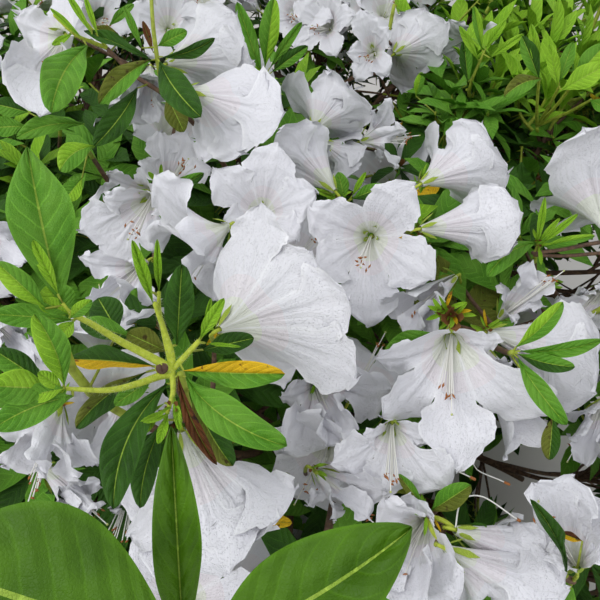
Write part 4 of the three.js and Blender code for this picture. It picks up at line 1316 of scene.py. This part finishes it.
for line, radii, look in placedTwigs:
    line = smoothLine([atPixel(*p) for p in line], 26)
    addTwig(line[0], line, radii, 8, 0, (look, look))
for hub in placedHubs:
    foot = atPixel(*hub)
    tieIn(foot, awayAt(foot), placed["hub"], rng, sides=8)

# Bracts stand out from a tuft on every side that is seen, some green, some dry.
tuft = {"length": (6, 15), "width": (0.12, 0.22), "open": (25, 95), "dry": 0.12, "bud": 0.105, "raise": 60,
        "scatter": 1.2}
for hub, count in placedTufts:
    foot = atPixel(*hub)
    toEye = unit(eyeAt - foot + upward * tuft["raise"])
    turns = rng.uniform(0, fullTurn, count)
    spokes, along = fan(toEye, turns, np.radians(rng.uniform(*tuft["open"], count)), upward)
    long = rng.uniform(*tuft["length"], count)
    dry = rng.random(count) < tuft["dry"]
    tints = np.where(dry, leafTints.index("old"), leafTints.index("fresh"))
    feet = foot + rng.normal(0, tuft["scatter"], (count, 3))
    addLeaves(heapsAt(foot)["leaves"], ribbedLeaves[3], feet, along, toEye - spokes, long,
              long * rng.uniform(*tuft["width"], count), tints)
    growBud(foot, toEye, rng, tuft["bud"] * count)
    heapsAt(foot)["twigs"].feet.append([foot])

scar = {"steps": [[-1.2], [0.6], [0.96], [0.72]], "radii": [1.3, 1.15, 0.8, 0.4], "sides": 12, "looks": [2, 0, 0]}
for hub, size in placedScars:
    foot = atPixel(*hub)
    line = foot + unit(eyeAt - foot) * np.array(scar["steps"]) * size
    addTubes(heapsAt(foot)["twigs"], line, np.array(scar["radii"]) * size, scar["sides"], scar["looks"])

styleForm = {"radius": 0.45, "tip": 0.95, "sides": 6}
for line in placedStyles:
    line = smoothLine([atPixel(*p) for p in line], 30)
    heap = heapsAt(line[0])["stamens"]
    addTubes(heap, line, styleForm["radius"], styleForm["sides"], 0)
    addTubes(heap, line[-2:] + (line[-1] - line[-2]), styleForm["tip"], styleForm["sides"], 1)

# Fine pale hairs on the young shoots nearest the eye.
hair = {"every": 0.16, "length": (1.0, 2.0), "lean": (-0.2, 0.7), "width": 0.14, "sunk": 0.1, "steps": 60}
for line, radii, look in placedTwigs:
    if look != "hairy":
        continue
    line = smoothLine([atPixel(*p) for p in line], hair["steps"])
    count = int(goneBy(line)[-1] / hair["every"])
    last = hair["steps"] - 1
    at = rng.integers(0, last, count)
    step = line[at + 1] - line[at]
    along = unit(step)
    out = unit(np.cross(along, rng.normal(size=(count, 3))))
    root = line[at] + step * rng.random((count, 1)) + out * (np.interp(at, [0, last], radii) - hair["sunk"])[:, None]
    lean = along * rng.uniform(*hair["lean"], (count, 1))
    end = root + (out + lean) * rng.uniform(*hair["length"], (count, 1))
    wide = unit(np.cross(out, along)) * hair["width"] / 2
    points = np.stack([root - wide, root + wide, end], 1)
    heapsAt(line[0])["twigs"].add(points, np.arange(count * 3), woodLooks["hair"])
print("placed leaves and twigs grown:", len(placedLeaves), len(placedTwigs))


# Where the placed shapes are seen, as the nearest depth in each ten-pixel cell, so nothing else grows before them.
view = {"cell": 10, "margin": 200, "thickness": 22, "inFront": 30, "nearest": 60, "least": 90,
        "rows": [0, 100, 200, 300, 400, 500, 600], "depths": [732, 590, 495, 426, 374, 333, 300]}
cells = (camera["pixels"] + 2 * view["margin"]) // view["cell"]
frontDepth = np.full((cells, cells), np.inf)


def cellsOf(points):
    x, y, depth = toPixels(points)
    return ((np.stack([y, x], -1) + view["margin"]) // view["cell"]).astype(int), depth


def markFront(points):
    at, depth = cellsOf(points)
    for dy in (-1, 0, 1):
        for dx in (-1, 0, 1):
            row, column = at[:, 0] + dy, at[:, 1] + dx
            inside = ((row >= 0) & (row < cells) & (column >= 0) & (column < cells)
                      & (depth > view["nearest"]))
            np.minimum.at(frontDepth, (row[inside], column[inside]), depth[inside])


for region in heaps.values():
    for kind in ("petals", "leaves"):
        if region[kind].points:
            markFront(np.concatenate(region[kind].points)[::3])


# True where a spray of this reach may grow without covering what is placed or closing a gap to the ground.
def hasRoom(point, reach):
    x, y, depth = toPixels(point)
    if depth < view["least"]:
        return True
    wide = reach * focus / depth
    low, high = -view["margin"] + wide, camera["pixels"] + view["margin"] - wide
    if not (low < x < high and low < y < high):
        return True
    inFrame = -wide < x < camera["pixels"] + wide and -wide < y < camera["pixels"] + wide
    if inFrame and any(math.hypot(x - px, y - py) < size + wide * 0.8 for px, py, size in openPlaces):
        return False
    span = max(1, int(wide // view["cell"]))
    row, column = (int((value + view["margin"]) // view["cell"]) for value in (y, x))
    near = frontDepth[max(row - span, 0):row + span + 1, max(column - span, 0):column + span + 1]
    if np.any(np.isfinite(near) & (near + view["thickness"] > depth)):
        return False
    return not inFrame or depth > np.interp(y, view["rows"], view["depths"]) - view["inFront"]


def inLeafyPlace(point):
    x, y, depth = toPixels(point)
    return depth > 0 and any(x0 < x < x1 and y0 < y < y1 for x0, y0, x1, y1 in leafyPlaces)


# A whorl of leaves round the end of a twig, opened by so many degrees from its line.
whorl = {
    "least": 5, "most": 8, "length": (40, 66), "width": (0.30, 0.38), "below": 3, "nearLeaf": 320,
    "guide": [0.3, 0.8, 0.52], "wander": 0.15, "back": 5, "firstBelow": 8, "eachBelow": 9, "openBelow": 12,
    "short": 0.72, "faceOut": 0.3, "faceWander": 0.22, "otherTint": 0.18, "oldUnder": 0.012, "spentOver": 0.993,
}


def growWhorl(point, axis, rng, opened, tint, scale=1.0, count=None, below=whorl["below"], slim=1.0):
    count = rng.integers(whorl["least"], whorl["most"]) if count is None else count
    total = count + below
    number = np.arange(total)
    turns = rng.uniform(0, fullTurn) + number * goldenAngle + rng.normal(0, whorl["wander"], total)
    lower = whorl["firstBelow"] + whorl["eachBelow"] * np.arange(below)
    back = np.concatenate([rng.uniform(0, whorl["back"], count), lower + rng.uniform(0, whorl["back"], below)])
    angle = np.radians(rng.uniform(*opened, total) + whorl["openBelow"] * (number >= count))
    spokes, along = fan(axis, turns, angle, whorl["guide"])
    lengths = rng.uniform(*whorl["length"], total) * scale * np.where(number % 3 == 0, whorl["short"], 1)
    widths = lengths * rng.uniform(*whorl["width"], total) * slim
    faceUp = axis - spokes * whorl["faceOut"] + rng.normal(0, whorl["faceWander"], (total, 3))
    feet = point - axis * back[:, None]
    other = rng.random(total) < whorl["otherTint"]
    tints = np.where(other, (tint + rng.integers(0, 2, total)) % 2 if tint < 2 else tint, tint)
    odd = rng.random(total)
    tints = np.where((odd < whorl["oldUnder"]) & (tint < 3), leafTints.index("old"), tints)
    tints = np.where((odd > whorl["spentOver"]) & (tint < 3), leafTints.index("spent"), tints)
    forms = ribbedLeaves if toPixels(point)[2] < whorl["nearLeaf"] else plainLeaves
    which = rng.integers(0, len(forms), total)
    here = heapsAt(point)
    here["twigs"].feet.append(feet)
    for form in np.unique(which):
        chosen = which == form
        addLeaves(here["leaves"], forms[form], feet[chosen], along[chosen], faceUp[chosen], lengths[chosen],
                  widths[chosen], tints[chosen])


bloom = {
    "reach": (36, 47), "high": (27, 37), "apart": (26, 58), "alone": (0, 35), "wide": (1.05, 1.3), "uneven": 0.13,
    "grid": (6, 8), "nearGrid": (9, 14), "near": 420, "wander": 0.2,
}


def growCluster(point, outward, rng, count):
    e1, e2 = squareTo(outward, whorl["guide"])
    start = rng.uniform(0, fullTurn)
    near = 0 < toPixels(point)[2] < bloom["near"]
    for k in range(count):
        turn = start + 2 * math.pi * k / count + rng.normal(0, bloom["wander"])
        opened = math.radians(rng.uniform(*bloom["apart" if count > 1 else "alone"]))
        spoke = math.cos(turn) * e1 + math.sin(turn) * e2
        axis = unit(outward * math.cos(opened) + spoke * math.sin(opened))
        foot = point + axis * pedicel["length"]
        lobes = starLobes(foot, axis, rng.uniform(*bloom["reach"]), rng.uniform(*bloom["high"]),
                          rng.uniform(0, fullTurn), rng, bloom["uneven"])
        growFlower(foot, axis, lobes, rng, *bloom["nearGrid" if near else "grid"], rng.uniform(*bloom["wide"]),
                   point - foot)


# A spray is a cluster of blooms, a tall shoot or a whorl of leaves, where there is room for it.
spray = {"reach": {"bloom": 52, "leafy": 38, "tall": 38}, "middle": {"bloom": 30, "leafy": 15, "tall": 15},
         "upright": 0.35, "tallUpright": 0.8, "wander": 0.18, "proud": 14, "proudBelow": 60, "freshIn": 0.1,
         "blooms": [1, 2, 2, 3], "underBud": (3, 1.2), "bud": 0.8}
sprayChances = {"fresh": 0.12, "mid": 0.62, "olive": 0.95, "bud": 0.25}
lowRoom, highRoom = (np.array(corner) * 1000 for corner in cadBox)
lowRoom, highRoom = lowRoom - [spray["proud"], spray["proud"], spray["proudBelow"]], highRoom + spray["proud"]
rng = np.random.default_rng(515)
grown = {"bloom": 0, "leafy": 0, "tall": 0, "left out": 0}
freshTint, shadedDeepTint, midTint, oliveTint = (leafTints.index(t) for t in ("fresh", "deep", "mid", "olive"))


# Each whorl of a spray: how far back it sits, how far it opens, and what else is its own.
sprayWhorls = {
    "underBloom": (4, (60, 100), {"scale": 0.9, "count": 4, "below": 2}),
    "tall": (0, (12, 48), {"scale": 0.85, "count": 6}),
    "underTall": (14, (50, 80), {"count": 3, "below": 2}),
    "fresh": (0, (22, 55), {}),
    "leafy": (0, (45, 92), {}),
}


def sprayWhorl(kind, point, line, tint, rng):
    back, opened, form = sprayWhorls[kind]
    growWhorl(point - line * back, line, rng, opened, tint, **form)


def growSpray(point, outward, kind, rng, depthShare=0.0):
    reach = spray["reach"][kind]
    line = unit(outward + upward * spray["upright"] + rng.normal(0, spray["wander"], 3))
    point = np.clip(point + line * reach, lowRoom, highRoom) - line * reach
    if not hasRoom(point + line * spray["middle"][kind], reach):
        if kind != "bloom" or not hasRoom(point + line * spray["middle"]["leafy"], spray["reach"]["leafy"]):
            grown["left out"] += 1
            return False
        kind = "leafy"
    if kind == "bloom" and inLeafyPlace(point):
        kind = "leafy"
    if kind == "bloom":
        back, size = spray["underBud"]
        sprayWhorl("underBloom", point, line, rng.choice([shadedDeepTint, midTint, midTint]), rng)
        growBud(point - line * back, line, rng, size)
        growCluster(point, line, rng, int(rng.choice(spray["blooms"])))
    elif kind == "tall":
        sprayWhorl("tall", point, unit(line + upward * spray["tallUpright"]), freshTint, rng)
        sprayWhorl("underTall", point, line, midTint, rng)
    else:
        # The deeper in the crown a whorl lies, the likelier its deep tint, as painted shade where less light reaches.
        chance = rng.random()
        if chance < sprayChances["fresh"] and depthShare < spray["freshIn"]:
            tint = freshTint
        elif chance < sprayChances["mid"] - depthShare:
            tint = midTint
        else:
            tint = oliveTint if chance > sprayChances["olive"] else shadedDeepTint
        sprayWhorl("fresh" if tint == freshTint else "leafy", point, line, tint, rng)
        if rng.random() < sprayChances["bud"]:
            growBud(point, line, rng, spray["bud"])
    grown[kind] += 1
    return True


# The placed shoots of the leafy side stand up out of the crown.
shoot = {"lean": 0.4, "wander": 0.16, "opened": {"fresh": (8, 40), "mid": (35, 88)},
         "slim": {"fresh": 0.72, "mid": 0.9}, "scale": 0.95, "radii": (1.9, 1.1)}
for tint, ends in placedShoots.items():
    for end in ends:
        point = atPixel(*end)
        line = unit(upward + crownNormal(point) * shoot["lean"] + rng.normal(0, shoot["wander"], 3))
        growWhorl(point, line, rng, shoot["opened"][tint], leafTints.index(tint), shoot["scale"], 6, 4,
                  shoot["slim"][tint])
        tieIn(point, -line, shoot["radii"], rng, ("young", "young"), 5)

# The rule's own tips bear the first sprays.
for tip in allTips:
    growSpray(tip["point"], tip["outward"], tip["kind"], rng)

# Finer twigs fill the crown's surface between them, a second layer lies deeper, and a third fills the leafy side.
layers = [
    {"count": 800, "candidates": 6000, "below": 0.74, "share": (0.93, 1.0), "bloomTop": 0.30, "bloomSkirt": 0.22,
     "tall": 0.05, "radii": (1.9, 1.2)},
    {"count": 520, "candidates": 3000, "below": 0.7, "share": (0.6, 0.88), "bloomTop": 0.05, "bloomSkirt": 0.04,
     "tall": 0.0, "radii": (1.8, 1.2)},
    {"count": 280, "candidates": 9000, "below": 0.2, "share": (0.88, 1.0), "bloomTop": 0.02, "bloomSkirt": 0.0,
     "tall": 0.03, "radii": (1.8, 1.2), "leafyOnly": True},
]
layerTwig = {"steps": 7, "youngFrom": 4, "sides": 4, "footShares": (0.35, 0.8), "inward": 8, "wander": 5}
leafySpray = {"nearer": 60, "bloom": 0.25, "lowest": 34, "tallOver": 0.8, "tallTimes": (2, 11), "leastRise": 15,
              "rise": (50, 120)}
tipPoints = np.array([tip["point"] for tip in allTips])
for layer in layers:
    places = crownPoint(directions(layer["candidates"], layer["below"]))
    if "leafyOnly" in layer:
        places = places[[inLeafyPlace(place) for place in places]]
    for index in spreadOut(places, layer["count"]):
        share = rng.uniform(*layer["share"])
        point = crownCentre + (places[index] - crownCentre) * share
        point[2] = max(point[2], leafySpray["lowest"])
        outward = crownNormal(point)
        level = levelOf(point)
        chance = layer["bloomSkirt"] + (layer["bloomTop"] - layer["bloomSkirt"]) * level
        leafy = onLeafySide(point, leafySpray["nearer"])
        kind = "bloom" if rng.random() < chance * (leafySpray["bloom"] if leafy else 1) else "leafy"
        tall = layer["tall"] * leafySpray["tallTimes"][leafy]
        if kind == "leafy" and level > leafySpray["tallOver"] and rng.random() < tall:
            kind, point = "tall", point + upward * rng.uniform(leafySpray["leastRise"], leafySpray["rise"][leafy])
        if not growSpray(point, outward, kind, rng, 1 - share):
            continue
        carrier = allTips[int(np.argmin(np.sum((tipPoints - point) ** 2, axis=1)))]["route"]
        foot = pointAt(carrier, rng.uniform(*layerTwig["footShares"]))
        bend = (foot + point) / 2 - outward * layerTwig["inward"] + rng.normal(0, layerTwig["wander"], 3)
        line = evenly(bezier(foot, bend, point, 24), layerTwig["steps"])
        addTwig(point, line, layer["radii"], layerTwig["sides"], layerTwig["youngFrom"])
print("sprays grown:", grown)

# Leaves whose foot stands off from the twigs get a stalk from the nearest of them.
petiole = {"every": 2.0, "off": 2.2, "radii": (0.9, 0.6), "sides": 3}
wood = []
for found in heaps.values():
    for lines in found["twigs"].lines:
        steps = int(np.max(np.linalg.norm(np.diff(lines, axis=1), axis=-1)) / petiole["every"]) + 1
        for share in np.arange(steps) / steps:
            wood.append((lines[:, :-1] * (1 - share) + lines[:, 1:] * share).reshape(-1, 3))
wood = np.concatenate(wood)
tree = kdtree.KDTree(len(wood))
for k, point in enumerate(wood):
    tree.insert(point, k)
tree.balance()
stalks = 0
for found in heaps.values():
    feet = np.concatenate(found["twigs"].feet)
    nearest = wood[[tree.find(foot)[1] for foot in feet]]
    off = np.linalg.norm(nearest - feet, axis=1) > petiole["off"]
    stalks += int(off.sum())
    if off.any():
        addTubes(found["twigs"], np.stack([nearest[off], feet[off]], 1), petiole["radii"], petiole["sides"],
                 woodLooks["young"])
print("leaf stalks grown:", stalks)


def makeMesh(name, heap, finishes, keep=None):
    points, faces, looks, blades = (np.concatenate(part) for part in (heap.points, heap.faces, heap.looks, heap.blades))
    if keep is not None:
        chosen = np.isin(looks, keep)
        if not chosen.any():
            return None
        used, faces = np.unique(faces[chosen], return_inverse=True)
        points, faces, looks = points[used], faces.reshape(-1, 3), np.searchsorted(keep, looks[chosen])
        blades = blades[used]
        finishes = [finishes[k] for k in keep]
    mesh = bpy.data.meshes.new(name)
    mesh.vertices.add(len(points))
    mesh.vertices.foreach_set("co", (points / 1000).astype(np.float32).ravel())
    mesh.loops.add(faces.size)
    mesh.loops.foreach_set("vertex_index", faces.astype(np.int32).ravel())
    mesh.polygons.add(len(faces))
    mesh.polygons.foreach_set("loop_start", np.arange(0, faces.size, 3, dtype=np.int32))
    mesh.polygons.foreach_set("material_index", looks.astype(np.int32))
    if blades.any():
        layer = mesh.attributes.new("blade", "FLOAT_VECTOR", "POINT")
        layer.data.foreach_set("vector", np.pad(blades, ((0, 0), (0, 1))).astype(np.float32).ravel())
    for finish in finishes:
        mesh.materials.append(finish)
    mesh.update(calc_edges=True)
    mesh.validate()
    mesh.shade_smooth()
    piece = bpy.data.objects.new(name, mesh)
    bpy.context.scene.collection.objects.link(piece)
    print(name, len(faces), "triangles")
    return piece


def settle(piece, slot, *nodes):
    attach(piece, "root")
    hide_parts(*nodes)


# Each kind of piece: its heap, its slot, its finishes, and the tints it keeps where it shares the heap.
pieceKinds = {
    "twigs": ("twigs", "bough_bark", twigFinishes, None),
    "leaves": ("leaves", "foliage", leafFinishes, ["deep", "mid", "olive", "rib", "broad"]),
    "youngLeaves": ("leaves", "young_growth", leafFinishes, ["fresh"]),
    "oldLeaves": ("leaves", "old_leaves", leafFinishes, ["old", "spent"]),
    "petals": ("petals", "petals", petalFinishes, None),
    "stamens": ("stamens", "stamens", stamenFinishes, None),
    "calyxes": ("greens", "young_growth", greenFinishes, None),
}
for region, found in heaps.items():
    nodes = ["foliage_" + mass["name"] for mass in masses if mass["region"] == region]
    for name, (kind, slot, finishes, tints) in pieceKinds.items():
        kept = tints and sorted(leafTints.index(tint) for tint in tints)
        piece = makeMesh(name + "_" + region, found[kind], finishes, kept)
        if piece:
            settle(piece, slot, *nodes)


# The stem and the boughs keep their solids' lines under a relief of ridged bark.
barkRelief = {"ridge": 0.9, "knots": 1.6, "fine": 0.5, "across": 0.22, "along": 26, "knotsAcross": 3, "knotsAlong": 60,
              "fineAlong": 2.6, "thick": (12, 14, 9)}


# A bump is lower on a thin limb than on a thick one.
def relief(points, angle, along, radius):
    found = np.empty(len(points))
    for k, (p, a, s, r) in enumerate(zip(points, angle, along, radius)):
        ridgeShow, knotShow, fineShow = (min(1, r / thick) for thick in barkRelief["thick"])
        wide = barkRelief["across"] * r
        around = Vector((math.cos(a), math.sin(a), 0))
        ridge = 1 - abs(noise.noise(around * wide + Vector((0, 0, s / barkRelief["along"]))) * 2)
        knots = noise.noise(around * barkRelief["knotsAcross"] + Vector((0, 0, s / barkRelief["knotsAlong"])))
        fine = noise.noise(Vector(p) / barkRelief["fineAlong"])
        found[k] = (barkRelief["ridge"] * (ridge - 0.6) * ridgeShow + barkRelief["knots"] * knots * knotShow
                    + barkRelief["fine"] * fine * fineShow)
    return found


def growLimb(name, line, radii, around, slot, node):
    heap = Heap()
    steps = len(line)
    tangent, first, second = (part[0] for part in framesOf(line[None]))
    angle = 2 * math.pi * np.arange(around) / around
    radius = radii(angle[None, :], np.linspace(0, 1, steps)[:, None]) * np.ones((steps, around))
    spokes = first[:, None] * np.cos(angle)[:, None] + second[:, None] * np.sin(angle)[:, None]
    skin = (line[:, None] + spokes * radius[..., None]).reshape(-1, 3)
    bumps = relief(skin, np.tile(angle, steps), np.repeat(goneBy(line), around), radius.reshape(-1))
    skin = line[:, None] + spokes * (radius + bumps.reshape(steps, around))[..., None]
    if name == "stem":
        skin[0, :, 2] = 0
    points = np.concatenate([skin.reshape(-1, 3), [line[0], line[-1] + tangent[-1] * 2]])
    ring, last = np.arange(around), (steps - 1) * around
    faces = np.concatenate([
        gridFaces(steps, around, True),
        np.stack([np.roll(ring, -1), ring, np.full(around, steps * around)], -1),
        np.stack([last + ring, last + np.roll(ring, -1), np.full(around, steps * around + 1)], -1),
    ])
    heap.add(points, faces, 0)
    settle(makeMesh(name, heap, [bark]), slot, node)


def stemRadius(angle, share):
    height = share * mainStem["height"]
    flare = mainStem["flare"] * np.exp(-height / mainStem["flareHeight"])
    return mainStem["topRadius"] + flare * (1 + mainStem["buttressDepth"] * np.cos(mainStem["buttresses"] * angle))


stemLine = np.linspace([0, 0, 0], [*mainStem["lean"], mainStem["height"]], 60)
growLimb("stem", stemLine, stemRadius, 96, "stem_bark", "main_stem")
for mass in masses:
    thick, thin = mass["radii"]
    growLimb("bough_" + mass["name"] + "_bark", evenly(mass["line"], 46),
             lambda angle, share, thick=thick, thin=thin: thick + (thin - thick) * share, 26, "bough_bark",
             "bough_" + mass["name"])
print("stem and boughs dressed")

# A pale floor, a pale sky and one large soft light.
studio = {"floor": 12, "floorColour": "c9c6c0", "sky": "f0f2f6", "skyStrength": 0.86, "watts": 32, "lightSize": 2.0,
          "lightAt": (-1.6, -1.0, 3.0)}
floorMesh = bpy.data.meshes.new("floor")
half = studio["floor"] / 2
floorMesh.from_pydata([(-half, -half, 0), (half, -half, 0), (half, half, 0), (-half, half, 0)], [], [(0, 1, 2, 3)])
floorMesh.materials.append(plainFinish("floor_paper", studio["floorColour"], "cecbc6", 6, 0.8))
floor = bpy.data.objects.new("floor", floorMesh)
bpy.context.scene.collection.objects.link(floor)

sky = bpy.data.worlds.new("sky")
sky.use_nodes = True
skyShader = sky.node_tree.nodes["Background"]
skyShader.inputs["Color"].default_value = hue(studio["sky"])
skyShader.inputs["Strength"].default_value = studio["skyStrength"]
bpy.context.scene.world = sky
lamp = bpy.data.lights.new("softLight", "AREA")
lamp.shape, lamp.size = "DISK", studio["lightSize"]
lamp.energy = studio["watts"]
lampAt = bpy.data.objects.new("softLight", lamp)
lampAt.location = studio["lightAt"]
lampAt.rotation_euler = (Vector((0.05, -0.1, 0.5)) - lampAt.location).to_track_quat("-Z", "Y").to_euler()
bpy.context.scene.collection.objects.link(lampAt)
bpy.context.scene.view_settings.view_transform = "Standard"
print("floor and light set")
